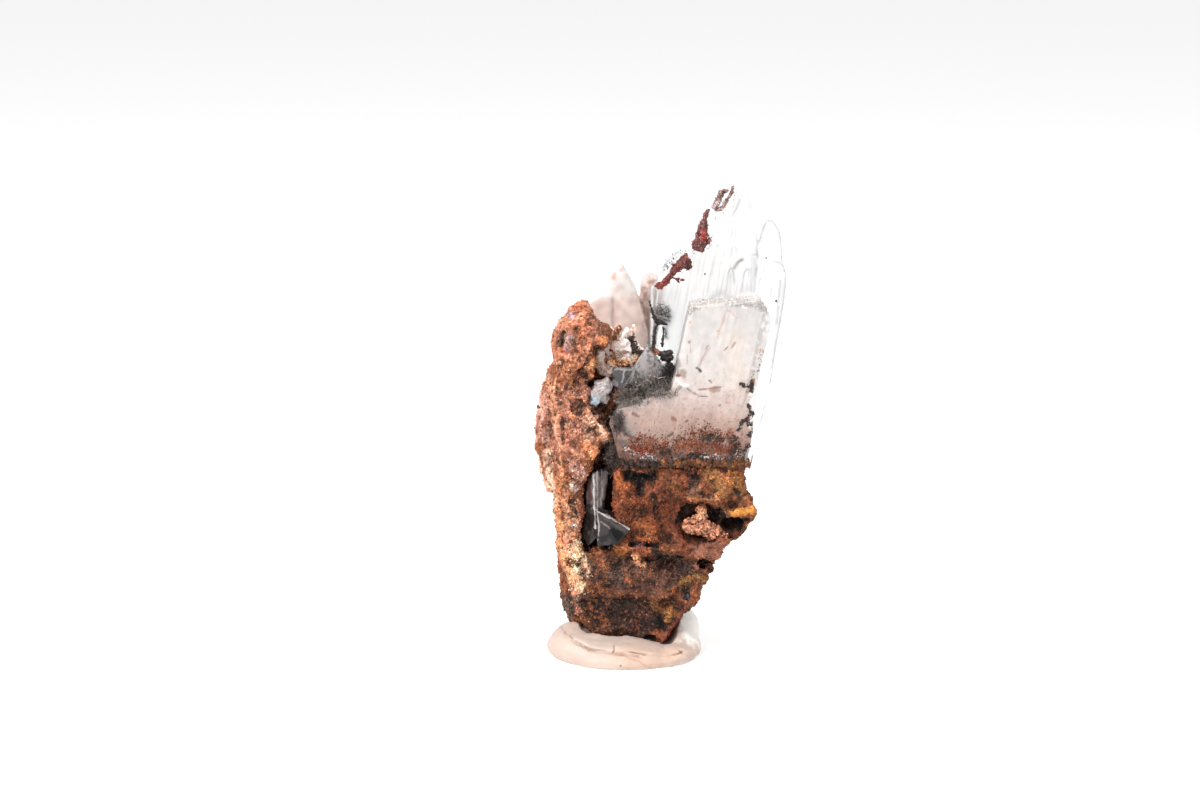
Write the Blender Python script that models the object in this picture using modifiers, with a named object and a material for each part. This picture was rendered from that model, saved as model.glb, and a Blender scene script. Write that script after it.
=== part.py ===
"""A miniature specimen of barite crystals on iron-oxide matrix, standing in a lump of tack.

The origin is the middle of the whole object's footprint. +X is to the right, +Y is
away from the viewer and +Z is up. Lengths below are in millimetres.
"""
from math import atan2, cos, radians, sin

import bmesh
import bpy
from mathutils import Matrix, Vector

MM = 0.001

# Driving dimensions of the whole specimen
CRYSTAL_LEAN = radians(12.0)
GAP = 0.25
FIT_GAP = 0.35
ROCK_GRAIN = 0.5
ROCK_FACES = 4800
MASS_RIM = 0.5
WELD = 0.01
ALLOWANCE_SHARE = 0.2
ROCK_RELIEF = [("CLOUDS", 5.0, 1.1), ("VORONOI", 2.2, 0.9), ("CLOUDS", 1.1, 0.5)]
SHIFT = Vector((0.22, -0.27, 0.0))
CUT_SNAP = 1e-7

# Rock masses: front outline as (x, z), then the depth from front to back
WALL = [(-8.4, 33.6), (-6.9, 33.7), (-6.2, 32.6), (-5.1, 31.6), (-5.1, 30.0), (-6.7, 26.6),
        (-6.6, 24.6), (-5.4, 22.6), (-4.8, 21.5), (-6.2, 19.6), (-6.0, 18.7), (-7.4, 17.2),
        (-7.9, 12.4), (-7.3, 6.2), (-8.3, 6.4), (-9.5, 10.3), (-9.8, 15.3), (-9.9, 21.0),
        (-10.6, 25.7), (-10.1, 28.4), (-9.9, 31.2)]
WALL_DEPTH = (-6.3, -1.6)
REAR_LEFT = [(-9.5, 28.0), (-5.7, 28.3), (-3.4, 25.9), (-3.4, 8.0), (-6.7, 4.0), (-8.1, 2.0),
             (-9.2, 4.0), (-9.7, 9.9), (-10.0, 15.2), (-10.9, 16.0), (-11.6, 20.1), (-11.4, 23.6)]
REAR_LEFT_DEPTH = (-2.4, 6.4)
BAND_UPPER = [(-8.3, 6.2), (-7.4, 10.4), (-5.6, 11.0), (2.7, 11.0), (5.0, 9.5), (4.0, 7.4),
              (3.3, 6.0)]
BAND_UPPER_DEPTH = (-5.5, 4.0)
BAND_LOWER = [(-7.6, 7.0), (3.2, 7.0), (2.6, 4.6), (0.3, 1.2), (-0.6, 1.1), (-1.9, 1.9),
              (-4.8, 2.0), (-6.5, 2.4), (-8.2, 4.4)]
BAND_LOWER_DEPTH = (-4.4, 3.4)
MIDDLE_FRONT = [(-4.4, 19.3), (7.6, 19.4), (8.1, 16.5), (8.5, 14.8), (8.0, 13.4), (6.8, 11.9),
                (5.4, 10.4), (-2.0, 10.5), (-4.2, 12.0), (-4.6, 15.6)]
MIDDLE_FRONT_DEPTH = (-6.6, -2.0)
MIDDLE_BACK = [(-7.3, 19.5), (7.4, 19.4), (8.0, 15.0), (6.4, 11.6), (5.0, 9.6), (-7.2, 9.8)]
MIDDLE_BACK_DEPTH = (-2.6, 4.2)
SHELF = [(-6.0, 27.4), (-2.4, 27.6), (0.6, 26.4), (4.4, 24.0), (6.6, 18.0), (-6.0, 18.0)]
SHELF_DEPTH = (-2.0, 4.6)
REAR_TOP = [(-8.6, 25.2), (-3.0, 25.8), (0.8, 24.6), (2.4, 17.0), (-0.8, 11.0), (-8.2, 12.0)]
REAR_TOP_DEPTH = (3.0, 8.4)

# Lumps and ledges that stand out from the masses: centre, then half sizes
KNOBS = [((7.3, -5.6, 14.5), (1.5, 1.5, 0.8)), ((-3.7, -6.4, 16.9), (0.9, 0.8, 0.8)),
         ((-1.9, -5.7, 9.5), (0.9, 0.8, 0.8)), ((-0.6, -6.4, 11.5), (4.6, 1.1, 0.7)),
         ((5.8, -5.2, 16.9), (2.2, 1.8, 1.6)), ((-5.6, -5.4, 21.8), (1.1, 1.2, 0.8)),
         ((-5.6, -5.2, 30.7), (1.1, 1.4, 1.2)), ((-10.2, -4.0, 25.0), (0.9, 1.6, 1.5)),
         ((-8.4, -5.9, 28.2), (1.2, 0.9, 1.8)), ((-8.6, -6.1, 14.4), (0.9, 0.8, 2.6)),
         ((-2.4, -4.9, 6.5), (5.0, 0.9, 0.6)), ((2.6, -4.0, 6.4), (1.5, 1.8, 1.6)),
         ((-8.2, 4.6, 20.4), (2.8, 2.6, 3.2)), ((3.4, 3.4, 17.0), (3.2, 1.8, 2.2))]

# Hollows in the rock: centre, then half sizes
HOLLOWS = {
    "vug_left": ((3.7, -6.9, 13.6), (2.4, 3.2, 2.1)),
    "vug_right": ((6.3, -6.7, 13.1), (1.4, 2.6, 1.1)),
    "dark_hollow": ((-1.9, -7.3, 17.4), (1.6, 1.6, 1.3)),
    "small_hole": ((4.3, -5.8, 9.4), (0.7, 1.6, 0.6)),
    "cleft_low": ((-5.9, -7.0, 14.6), (1.5, 4.0, 4.4)),
    "cleft_high": ((-5.2, -7.0, 19.6), (0.9, 3.6, 1.6)),
    "rust_scoop": ((1.0, -8.4, 14.2), (3.4, 2.4, 2.6)),
    "wall_pit_high": ((-7.6, -7.0, 24.6), (1.0, 1.4, 1.2)),
    "wall_pit_low": ((-8.2, -7.0, 9.8), (1.0, 1.8, 0.9)),
    "under_ledge": ((-1.0, -6.6, 10.1), (4.2, 1.3, 0.4)),
    "rear_hollow": ((2.8, 6.0, 12.4), (3.4, 2.6, 2.6)),
}

# Barite prisms side by side in the leaning blade, measured across and along the lean:
# left, right, tip across, left shoulder, tip, right shoulder, front, back
BLADE_PRISMS = [
    (-8.2, -5.2, -6.1, 33.6, 38.0, 37.7, -1.7, 0.9),
    (-5.5, -4.1, -4.5, 38.4, 42.1, 41.8, -2.0, 1.2),
    (-4.6, 0.0, -2.7, 41.9, 44.9, 42.2, -2.3, 1.5),
    (-0.6, 1.0, 0.2, 38.7, 38.9, 38.7, -1.9, 1.1),
    (0.5, 3.1, 1.2, 41.0, 42.3, 39.6, -2.2, 1.3),
    (2.8, 4.5, 3.4, 37.9, 38.2, 34.6, -1.8, 0.9),
]
BLADE_FOOT = 17.6
BLADE_HEADROOM = 1.0
BLADE_LEFT_LIMIT = -1.0
# Slanting faces of a prism: how far in from the side or below the tip, and the slope
FRONT_BEVEL = (0.5, 0.6)
BACK_BEVEL = (0.4, 0.8)
FRONT_CHISEL = (1.2, 0.35)
BACK_CHISEL = (1.0, 0.5)

# Milky crystal in front of the blade
BLOCK_LEFT, BLOCK_RIGHT = -4.6, 3.0
BLOCK_FOOT, BLOCK_TOP = 22.0, 35.5
BLOCK_FRONT, MILKY_BACK = -6.3, -2.65
FOOT_OUTLINE = [(-3.8, 19.2), (-4.8, 22.8), (-3.7, 25.2), (1.6, 26.2), (6.5, 27.8), (8.6, 27.0),
                (8.3, 22.0), (7.7, 19.2)]
FOOT_FRONT = -6.7
# Slanting faces, each a point on it and its outward direction: the block's two roof faces,
# shoulder, right and left front bevels and front top bevel, then the foot's front and sides
BLOCK_FACES = [((1.5, 0.0, BLOCK_TOP), (-0.28, 0.0, 0.96)),
               ((1.5, 0.0, BLOCK_TOP), (0.75, 0.0, 0.66)),
               ((BLOCK_LEFT + 0.4, 0.0, 34.0), (-0.7, 0.0, 0.7)),
               ((BLOCK_RIGHT - 1.0, BLOCK_FRONT, 0.0), (0.9, -1.0, 0.0)),
               ((BLOCK_LEFT + 0.3, BLOCK_FRONT, 0.0), (-0.6, -1.0, 0.0)),
               ((0.0, BLOCK_FRONT + 0.3, BLOCK_TOP), (0.0, -1.0, 0.7))]
FOOT_FACES = [((0.0, FOOT_FRONT + 0.25, 23.0), (0.0, -1.0, 0.14)),
              ((-3.7, FOOT_FRONT, 23.0), (-0.9, -1.0, 0.2)),
              ((8.2, FOOT_FRONT, 23.0), (0.9, -1.0, 0.0))]

# Smaller crystals: convex front outline, then depth from front to back
RIDGE_ROOM = 0.6
OUTLINE_ROOM = 1.0
REAR_MAIN = [(-3.8, 36.2), (-2.4, 33.8), (-1.2, 29.6), (-1.4, 22.5), (-5.8, 22.5), (-5.9, 32.6)]
REAR_MAIN_DEPTH = (4.0, 6.6)
REAR_SIDE = [(-5.3, 33.5), (-4.6, 33.0), (-4.6, 23.0), (-7.4, 23.0), (-8.1, 30.8), (-6.8, 32.7)]
REAR_SIDE_DEPTH = (3.6, 6.0)
REAR_SHORT = [(-1.2, 35.1), (-0.2, 34.5), (-0.3, 30.0), (-0.7, 22.8), (-2.2, 22.8), (-1.9, 33.8)]
REAR_SHORT_DEPTH = (5.5, 7.6)
CREAM = [(-4.8, 28.2), (-4.7, 30.4), (-3.9, 31.8), (-2.0, 31.3), (-1.6, 29.4), (-2.4, 26.6),
         (-4.2, 26.6)]
CREAM_DEPTH = (-3.9, -1.2)
GREY_WEDGE = [(-1.4, 29.9), (-2.6, 28.2), (-3.9, 25.4), (0.4, 25.4), (0.3, 27.6)]
GREY_WEDGE_DEPTH = (-4.7, -2.0)
GREY_LOW = [(-4.6, 28.0), (-2.6, 28.0), (-2.2, 26.4), (-3.4, 25.6), (-4.6, 26.4)]
GREY_LOW_DEPTH = (-4.9, -4.1)
PALE_CHIP = [(-4.9, 27.2), (-4.3, 26.6), (-5.6, 24.1), (-6.3, 23.8), (-6.5, 24.6)]
PALE_CHIP_DEPTH = (-6.0, -4.7)
SMOKY_MAIN = [(-6.9, 17.5), (-5.9, 18.4), (-5.0, 18.2), (-5.3, 14.6), (-6.1, 12.0), (-6.9, 11.1),
              (-7.3, 11.9)]
SMOKY_MAIN_DEPTH = (-5.6, -3.6)
SMOKY_BRANCH = [(-6.2, 14.7), (-5.1, 14.6), (-2.9, 13.0), (-3.4, 12.2), (-5.6, 11.8),
                (-6.2, 12.4)]
SMOKY_BRANCH_DEPTH = (-6.6, -4.4)

# Small crystals that grew against larger ones, and end where those begin
YIELDS_TO = {"cream_crystal": ["rear_crystals"],
             "grey_crystal": ["cream_crystal", "milky_crystal", "clear_blade"],
             "pale_blue_chip": ["grey_crystal", "cream_crystal"]}

# Crusts on the blade's stepped edge: small lumps as (x, y, z, radius)
HEMATITE_LOW = [(-0.3, -2.1, 34.9, 0.4), (0.2, -2.1, 35.3, 0.45), (0.8, -2.1, 35.9, 0.5),
                (1.4, -2.2, 36.4, 0.6), (2.0, -2.2, 36.9, 0.7), (2.6, -2.2, 37.3, 0.6)]
HEMATITE_MID = [(2.9, -2.3, 38.8, 0.4), (3.2, -2.3, 39.3, 0.55), (3.5, -2.4, 40.0, 0.6),
                (3.8, -2.4, 40.7, 0.55), (4.1, -2.5, 41.2, 0.45)]
HEMATITE_TOP = [(4.8, -2.7, 42.5, 0.4), (5.1, -2.7, 42.9, 0.45), (5.5, -2.7, 43.3, 0.5),
                (6.1, -2.6, 43.8, 0.45), (6.5, -2.5, 44.1, 0.35)]
BLACK_CRUST = [(-1.2, -2.0, 33.3, 0.45), (-0.8, -2.2, 32.5, 0.6), (0.0, -2.3, 31.9, 0.8),
               (0.1, -2.3, 30.9, 0.6), (0.0, -2.3, 30.0, 0.6), (-0.4, -2.3, 29.1, 0.85),
               (0.6, -2.4, 28.6, 1.0), (0.9, -2.5, 27.5, 0.75), (1.1, -2.5, 26.9, 0.5)]
CRUST_GRAIN = 0.25
CRUST_FACES = 160
CRUST_RELIEF = [("VORONOI", 1.1, 0.3)]
NEST = [(3.8, -5.6, 14.6, 0.6), (3.6, -5.5, 13.8, 0.7), (2.7, -5.5, 13.2, 0.7),
        (3.7, -5.5, 13.1, 0.85), (4.5, -5.5, 12.7, 0.8), (5.2, -5.5, 12.3, 0.65),
        (5.8, -5.6, 12.0, 0.5)]

# Mineral tack: the main lump, then the fold at the right rear; half sizes
TACK_LUMPS = [((-3.4, -1.8, 0.6), (7.4, 6.7, 2.6)), ((-6.6, -3.0, 1.2), (3.9, 4.4, 2.3)),
              ((1.3, 0.6, 1.2), (2.6, 3.4, 2.9)), ((-3.0, -4.6, 0.9), (5.4, 3.8, 1.7))]
TACK_GRAIN = 0.6
TACK_FACES = 1000
TACK_RELIEF = [("CLOUDS", 4.0, 0.6)]


def linear(code):
    """Turn an sRGB hex colour to the linear values that a shader takes."""
    channels = [int(code[i:i + 2], 16) / 255 for i in (0, 2, 4)]
    return [c / 12.92 if c <= 0.04045 else ((c + 0.055) / 1.055) ** 2.4 for c in channels] + [1.0]


def finish(name, colour, roughness, metallic=0.0, clear=0.0):
    """Make a plain surface with the sub-part's colour."""
    material = bpy.data.materials.new(name)
    material.use_nodes = True
    shader = material.node_tree.nodes["Principled BSDF"]
    shader.inputs["Base Color"].default_value = linear(colour)
    shader.inputs["Roughness"].default_value = roughness
    shader.inputs["Metallic"].default_value = metallic
    shader.inputs["Transmission Weight"].default_value = clear
    return material


def add_object(name, mesh, collection):
    """Put a mesh in the scene under its own name."""
    piece = bpy.data.objects.new(name, mesh)
    collection.objects.link(piece)
    return piece


def mesh_from(bm, name):
    """Close a bmesh and keep it as a mesh with its faces pointing out."""
    bmesh.ops.recalc_face_normals(bm, faces=bm.faces)
    mesh = bpy.data.meshes.new(name)
    bm.to_mesh(mesh)
    bm.free()
    return mesh


def bake(piece):
    """Replace an object's mesh by what its modifiers make of it."""
    depsgraph = bpy.context.evaluated_depsgraph_get()
    mesh = bpy.data.meshes.new_from_object(piece.evaluated_get(depsgraph))
    piece.modifiers.clear()
    piece.data = mesh
    return piece


def slab(name, outline, depth, collection, rim):
    """Extrude a front outline from its front face to its back face."""
    front, back = depth
    curve = bpy.data.curves.new(name, "CURVE")
    curve.dimensions = "2D"
    curve.fill_mode = "BOTH"
    curve.extrude = (back - front) / 2 * MM - rim * MM
    curve.bevel_depth = rim * MM
    curve.bevel_resolution = 1
    curve.offset = -rim * MM
    spline = curve.splines.new("POLY")
    spline.points.add(len(outline) - 1)
    for point, (x, z) in zip(spline.points, outline):
        point.co = (x * MM, z * MM, 0.0, 1.0)
    spline.use_cyclic_u = True
    guide = add_object(name, curve, collection)
    guide.matrix_world = (Matrix.Translation((0.0, (front + back) / 2 * MM, 0.0))
                          @ Matrix.Rotation(radians(90.0), 4, "X"))
    bpy.context.view_layer.update()
    depsgraph = bpy.context.evaluated_depsgraph_get()
    mesh = bpy.data.meshes.new_from_object(guide.evaluated_get(depsgraph))
    mesh.transform(guide.matrix_world)
    bpy.data.objects.remove(guide)
    bm = bmesh.new()
    bm.from_mesh(mesh)
    bmesh.ops.remove_doubles(bm, verts=bm.verts, dist=WELD * MM)
    return add_object(name, mesh_from(bm, name), collection)


def egg(bm, centre, half_sizes, detail=3):
    """Add one ellipsoid to a bmesh."""
    place = Matrix.Translation(Vector(centre) * MM)
    place @= Matrix.Diagonal((*(size * MM for size in half_sizes), 1.0))
    bmesh.ops.create_icosphere(bm, subdivisions=detail, radius=1.0, matrix=place)


def lumps(name, balls, grain, faces, collection):
    """Fuse overlapping balls to one knobbly lump with about so many faces."""
    bm = bmesh.new()
    for x, y, z, radius in balls:
        egg(bm, (x, y, z), (radius, radius, radius), detail=2)
    piece = add_object(name, mesh_from(bm, name), collection)
    return roughen(piece, grain, faces, CRUST_RELIEF)


def roughen(piece, grain, faces, relief):
    """Fuse a piece's parts, add noise of each size and depth, and thin its faces."""
    fuse = piece.modifiers.new("fuse", "REMESH")
    fuse.mode = "VOXEL"
    fuse.voxel_size = grain * MM
    for kind, size, depth in relief:
        noise = bpy.data.textures.new(f"{piece.name}_relief", kind)
        noise.noise_scale = size * MM
        push = piece.modifiers.new(kind.lower(), "DISPLACE")
        push.texture = noise
        push.texture_coords = "LOCAL"
        push.strength = depth * MM
    bake(piece)
    thin = piece.modifiers.new("thin", "DECIMATE")
    piece.data.calc_loop_triangles()
    thin.ratio = min(1.0, faces / len(piece.data.loop_triangles))
    return bake(piece)


def cut_planes(low, high, planes, spread=0.0, lean=0.0):
    """Cut a box by planes, each a point and an outward direction, as flat crystal faces."""
    bm = bmesh.new()
    bmesh.ops.create_cube(bm, size=1.0)
    grow = Vector((spread, spread, spread))
    low = Vector(low) - grow
    high = Vector(high) + grow
    bmesh.ops.scale(bm, vec=(high - low) * MM, verts=bm.verts)
    bmesh.ops.translate(bm, vec=(low + high) / 2 * MM, verts=bm.verts)
    for point, direction in planes:
        outward = Vector(direction).normalized()
        place = (Vector(point) + outward * spread) * MM
        parts = bm.verts[:] + bm.edges[:] + bm.faces[:]
        cut = bmesh.ops.bisect_plane(bm, geom=parts, dist=CUT_SNAP, plane_co=place,
                                     plane_no=outward, clear_outer=True)
        rim = [item for item in cut["geom_cut"] if isinstance(item, bmesh.types.BMEdge)]
        if rim:
            bmesh.ops.contextual_create(bm, geom=rim)
    bmesh.ops.rotate(bm, cent=(0, 0, 0), matrix=Matrix.Rotation(lean, 3, "Y"), verts=bm.verts)
    return bm


def outline_planes(outline):
    """Turn a convex front outline to side planes, whichever way round it runs."""
    middle = Vector((sum(x for x, z in outline), 0.0, sum(z for x, z in outline))) / len(outline)
    planes = []
    for (x1, z1), (x2, z2) in zip(outline, outline[1:] + outline[:1]):
        outward = Vector((z2 - z1, 0.0, x1 - x2))
        point = Vector((x1, 0.0, z1))
        if (point - middle).dot(outward) < 0:
            outward = -outward
        planes.append((point, outward))
    return planes


def table_crystal(outline, depth, ridge=0.0, extra_faces=()):
    """Describe a flat crystal: its outline's faces, and front and back faces with a ridge."""
    front, back = depth
    xs = [x for x, z in outline]
    zs = [z for x, z in outline]
    middle = (sum(xs) / len(xs), sum(zs) / len(zs))
    planes = outline_planes(outline) + list(extra_faces)
    if ridge:
        for side in (-1.0, 1.0):
            planes.append(((middle[0], front, middle[1]), (side * ridge, -1.0, 0.0)))
            planes.append(((middle[0], back, middle[1]), (side * ridge, 1.0, 0.0)))
    room = RIDGE_ROOM if ridge else 0.0
    box_low = (min(xs) - OUTLINE_ROOM, front - room, min(zs) - OUTLINE_ROOM)
    box_high = (max(xs) + OUTLINE_ROOM, back + room, max(zs) + OUTLINE_ROOM)
    return box_low, box_high, planes, 0.0


def blade_prism(left, right, tip_across, left_shoulder, tip, right_shoulder, front, back):
    """Describe one prism of the blade, with a chisel top and bevelled long edges."""
    left_slope = atan2(tip - left_shoulder, tip_across - left)
    right_slope = atan2(tip - right_shoulder, right - tip_across)
    top = (tip_across, 0.0, tip)
    planes = [(top, (-sin(left_slope), 0.0, cos(left_slope))),
              (top, (sin(right_slope), 0.0, cos(right_slope)))]
    faces = ((front, -1.0, FRONT_BEVEL, FRONT_CHISEL), (back, 1.0, BACK_BEVEL, BACK_CHISEL))
    for depth, outward, (inset, bevel_slope), (drop, chisel_slope) in faces:
        for across, side in ((left, -1.0), (right, 1.0)):
            planes.append(((across - side * inset, depth, 0.0), (side * bevel_slope, outward, 0.0)))
        planes.append(((tip_across, depth, tip - drop), (0.0, outward, chisel_slope)))
    limit_normal = (-cos(CRYSTAL_LEAN), 0.0, -sin(CRYSTAL_LEAN))
    limit_point = Vector(limit_normal) * -BLADE_LEFT_LIMIT
    planes.append((limit_point, limit_normal))
    low = (left, front, BLADE_FOOT)
    high = (right, back, tip + BLADE_HEADROOM)
    return low, high, planes, CRYSTAL_LEAN


def milky_block():
    """Describe the upright block, with its roof-like top and narrow right side."""
    low = (BLOCK_LEFT, BLOCK_FRONT, BLOCK_FOOT)
    high = (BLOCK_RIGHT, MILKY_BACK, BLOCK_TOP)
    return low, high, BLOCK_FACES, CRYSTAL_LEAN


def milky_foot():
    """Describe the broad foot, whose front face leans back a little."""
    return table_crystal(FOOT_OUTLINE, (FOOT_FRONT, MILKY_BACK), extra_faces=FOOT_FACES)


def grow_crystal(name, forms, collection, cutters):
    """Build a crystal group as one solid, and its socket, wider by the gap all round."""
    grown = []
    for label, spread, home in ((name, 0.0, collection), (f"{name}_socket", GAP, cutters)):
        whole = None
        for low, high, planes, lean in forms:
            mesh = mesh_from(cut_planes(low, high, planes, spread, lean), label)
            form = add_object(f"{label}_form", mesh, cutters)
            if whole is None:
                whole = add_object(label, mesh.copy(), home)
            else:
                combine(whole, form, "UNION")
            bpy.data.objects.remove(form)
        grown.append(whole)
    return grown


def combine(piece, tool, operation):
    """Join a tool to a piece, or cut it away, with an exact Boolean."""
    step = piece.modifiers.new(operation.lower(), "BOOLEAN")
    step.operation = operation
    step.object = tool
    step.solver = "EXACT"
    bake(piece)


def keep_largest(piece):
    """Drop crumbs that a cut has left loose beside the main body."""
    bm = bmesh.new()
    bm.from_mesh(piece.data)
    unseen = set(bm.verts)
    islands = []
    while unseen:
        frontier = [unseen.pop()]
        island = set(frontier)
        while frontier:
            for edge in frontier.pop().link_edges:
                for vertex in edge.verts:
                    if vertex in unseen:
                        unseen.discard(vertex)
                        island.add(vertex)
                        frontier.append(vertex)
        islands.append(island)
    largest = max(islands, key=len)
    crumbs = [vertex for vertex in bm.verts if vertex not in largest]
    bmesh.ops.delete(bm, geom=crumbs, context="VERTS")
    bm.to_mesh(piece.data)
    bm.free()


def build_rock(collection, cutters):
    """Build the brown matrix: its masses fused, weathered and hollowed."""
    masses = [(WALL, WALL_DEPTH), (REAR_LEFT, REAR_LEFT_DEPTH), (BAND_UPPER, BAND_UPPER_DEPTH),
              (BAND_LOWER, BAND_LOWER_DEPTH), (MIDDLE_FRONT, MIDDLE_FRONT_DEPTH),
              (MIDDLE_BACK, MIDDLE_BACK_DEPTH), (SHELF, SHELF_DEPTH), (REAR_TOP, REAR_TOP_DEPTH)]
    slabs = [slab(f"mass_{i}", outline, depth, cutters, MASS_RIM)
             for i, (outline, depth) in enumerate(masses)]
    bm = bmesh.new()
    for item in slabs:
        bm.from_mesh(item.data)
        bpy.data.objects.remove(item)
    for centre, half_sizes in KNOBS:
        egg(bm, centre, half_sizes)
    rock = add_object("matrix", mesh_from(bm, "matrix"), collection)
    roughen(rock, ROCK_GRAIN, ROCK_FACES, ROCK_RELIEF)
    for name, (centre, half_sizes) in HOLLOWS.items():
        bm = bmesh.new()
        egg(bm, centre, half_sizes, detail=2)
        combine(rock, add_object(name, mesh_from(bm, name), cutters), "DIFFERENCE")
    return rock


def build_tack(rock, collection, cutters):
    """Build the lump of tack, flat below and hollowed to the rock's foot."""
    bm = bmesh.new()
    for centre, half_sizes in TACK_LUMPS:
        egg(bm, centre, half_sizes)
    tack = add_object("mineral_tack", mesh_from(bm, "mineral_tack"), collection)
    roughen(tack, TACK_GRAIN, TACK_FACES, TACK_RELIEF)
    bm = bmesh.new()
    bm.from_mesh(tack.data)
    parts = bm.verts[:] + bm.edges[:] + bm.faces[:]
    cut = bmesh.ops.bisect_plane(bm, geom=parts, dist=CUT_SNAP, plane_co=(0, 0, 0),
                                 plane_no=(0, 0, -1), clear_outer=True)
    rim = [item for item in cut["geom_cut"] if isinstance(item, bmesh.types.BMEdge)]
    bmesh.ops.holes_fill(bm, edges=rim)
    tack.data = mesh_from(bm, "mineral_tack")
    combine(tack, fattened(rock, cutters), "DIFFERENCE")
    keep_largest(tack)
    return tack


def fattened(rock, cutters):
    """Copy the rock, grown by the fitting gap all round."""
    wide = add_object("matrix_allowance", rock.data.copy(), cutters)
    grow = wide.modifiers.new("grow", "DISPLACE")
    grow.mid_level = 0.0
    grow.strength = FIT_GAP * MM
    fuse = wide.modifiers.new("fuse", "REMESH")
    fuse.mode = "VOXEL"
    fuse.voxel_size = ROCK_GRAIN * MM
    thin = wide.modifiers.new("thin", "DECIMATE")
    thin.ratio = ALLOWANCE_SHARE
    return bake(wide)


def paint(piece, material):
    """Give a piece its one material."""
    piece.data.materials.clear()
    piece.data.materials.append(material)


def main():
    for item in list(bpy.data.objects):
        bpy.data.objects.remove(item, do_unlink=True)
    scene = bpy.context.scene.collection
    specimen = bpy.data.collections.new("barite_specimen")
    cutters = bpy.data.collections.new("cutters")
    scene.children.link(specimen)
    scene.children.link(cutters)

    rock = build_rock(specimen, cutters)
    crystals = {
        "clear_blade": [blade_prism(*prism) for prism in BLADE_PRISMS],
        "milky_crystal": [milky_foot(), milky_block()],
        "rear_crystals": [table_crystal(REAR_MAIN, REAR_MAIN_DEPTH, ridge=0.18),
                          table_crystal(REAR_SIDE, REAR_SIDE_DEPTH, ridge=0.12),
                          table_crystal(REAR_SHORT, REAR_SHORT_DEPTH, ridge=0.2)],
        "cream_crystal": [table_crystal(CREAM, CREAM_DEPTH, ridge=0.25)],
        "grey_crystal": [table_crystal(GREY_WEDGE, GREY_WEDGE_DEPTH, ridge=0.3),
                         table_crystal(GREY_LOW, GREY_LOW_DEPTH, ridge=0.2)],
        "pale_blue_chip": [table_crystal(PALE_CHIP, PALE_CHIP_DEPTH, ridge=0.3)],
        "smoky_crystal": [table_crystal(SMOKY_MAIN, SMOKY_MAIN_DEPTH, ridge=0.5),
                          table_crystal(SMOKY_BRANCH, SMOKY_BRANCH_DEPTH, ridge=0.4)],
    }
    pieces = {}
    sockets = {}
    for name, forms in crystals.items():
        pieces[name], sockets[name] = grow_crystal(name, forms, specimen, cutters)
        combine(rock, sockets[name], "DIFFERENCE")
    for name, neighbours in YIELDS_TO.items():
        for neighbour in neighbours:
            combine(pieces[name], sockets[neighbour], "DIFFERENCE")
        keep_largest(pieces[name])
    keep_largest(rock)

    crusts = {"hematite_low": HEMATITE_LOW, "hematite_mid": HEMATITE_MID,
              "hematite_top": HEMATITE_TOP, "black_crust": BLACK_CRUST, "drusy_nest": NEST}
    allowance = fattened(rock, cutters)
    for name, balls in crusts.items():
        crust = lumps(name, balls, CRUST_GRAIN, CRUST_FACES, specimen)
        for neighbour in ("clear_blade", "grey_crystal", "milky_crystal"):
            combine(crust, sockets[neighbour], "DIFFERENCE")
        combine(crust, allowance, "DIFFERENCE")
        keep_largest(crust)
        pieces[name] = crust
    pieces["matrix"] = rock
    pieces["mineral_tack"] = build_tack(rock, specimen, cutters)

    paint(pieces["matrix"], finish("goethite matrix", "90593D", 0.9))
    paint(pieces["mineral_tack"], finish("mineral tack", "EED7C6", 0.65))
    paint(pieces["clear_blade"], finish("clear barite", "FBFAFA", 0.08, clear=1.0))
    paint(pieces["milky_crystal"], finish("milky barite", "F0E6E2", 0.4, clear=0.3))
    paint(pieces["rear_crystals"], finish("rosy barite", "D2B4AB", 0.35, clear=0.4))
    paint(pieces["cream_crystal"], finish("cream barite", "EFE0DA", 0.4, clear=0.2))
    paint(pieces["grey_crystal"], finish("grey barite", "A19392", 0.25, clear=0.3))
    paint(pieces["pale_blue_chip"], finish("pale blue barite", "C9D6E0", 0.25, clear=0.3))
    paint(pieces["smoky_crystal"], finish("smoky barite", "857270", 0.15, clear=0.3))
    for name in ("hematite_low", "hematite_mid", "hematite_top"):
        paint(pieces[name], finish(f"{name} crust", "7B4D4D", 0.45))
    paint(pieces["black_crust"], finish("goethite crust", "3A302E", 0.5))
    paint(pieces["drusy_nest"], finish("drusy quartz", "B58063", 0.5))

    for piece in pieces.values():
        piece.data.transform(Matrix.Translation(SHIFT * MM))
    for tool in cutters.objects:
        tool.hide_render = True
        tool.display_type = "WIRE"


main()
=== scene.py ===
# %% [markdown]
# Barite crystals on an iron-oxide matrix
#
# This lesson dresses a small mineral specimen: clear and milky barite prisms that lean out of a
# brown, crumbly rock, which stands in a flat lump of tack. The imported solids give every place
# and size. Each cell takes one piece or one finish, says what it is on the real stone, and shows
# one way to make it in Blender.

# %% Load the frame
import math
import random

import bmesh
import bpy
import numpy as np
from mathutils import Matrix, Vector, noise


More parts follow.
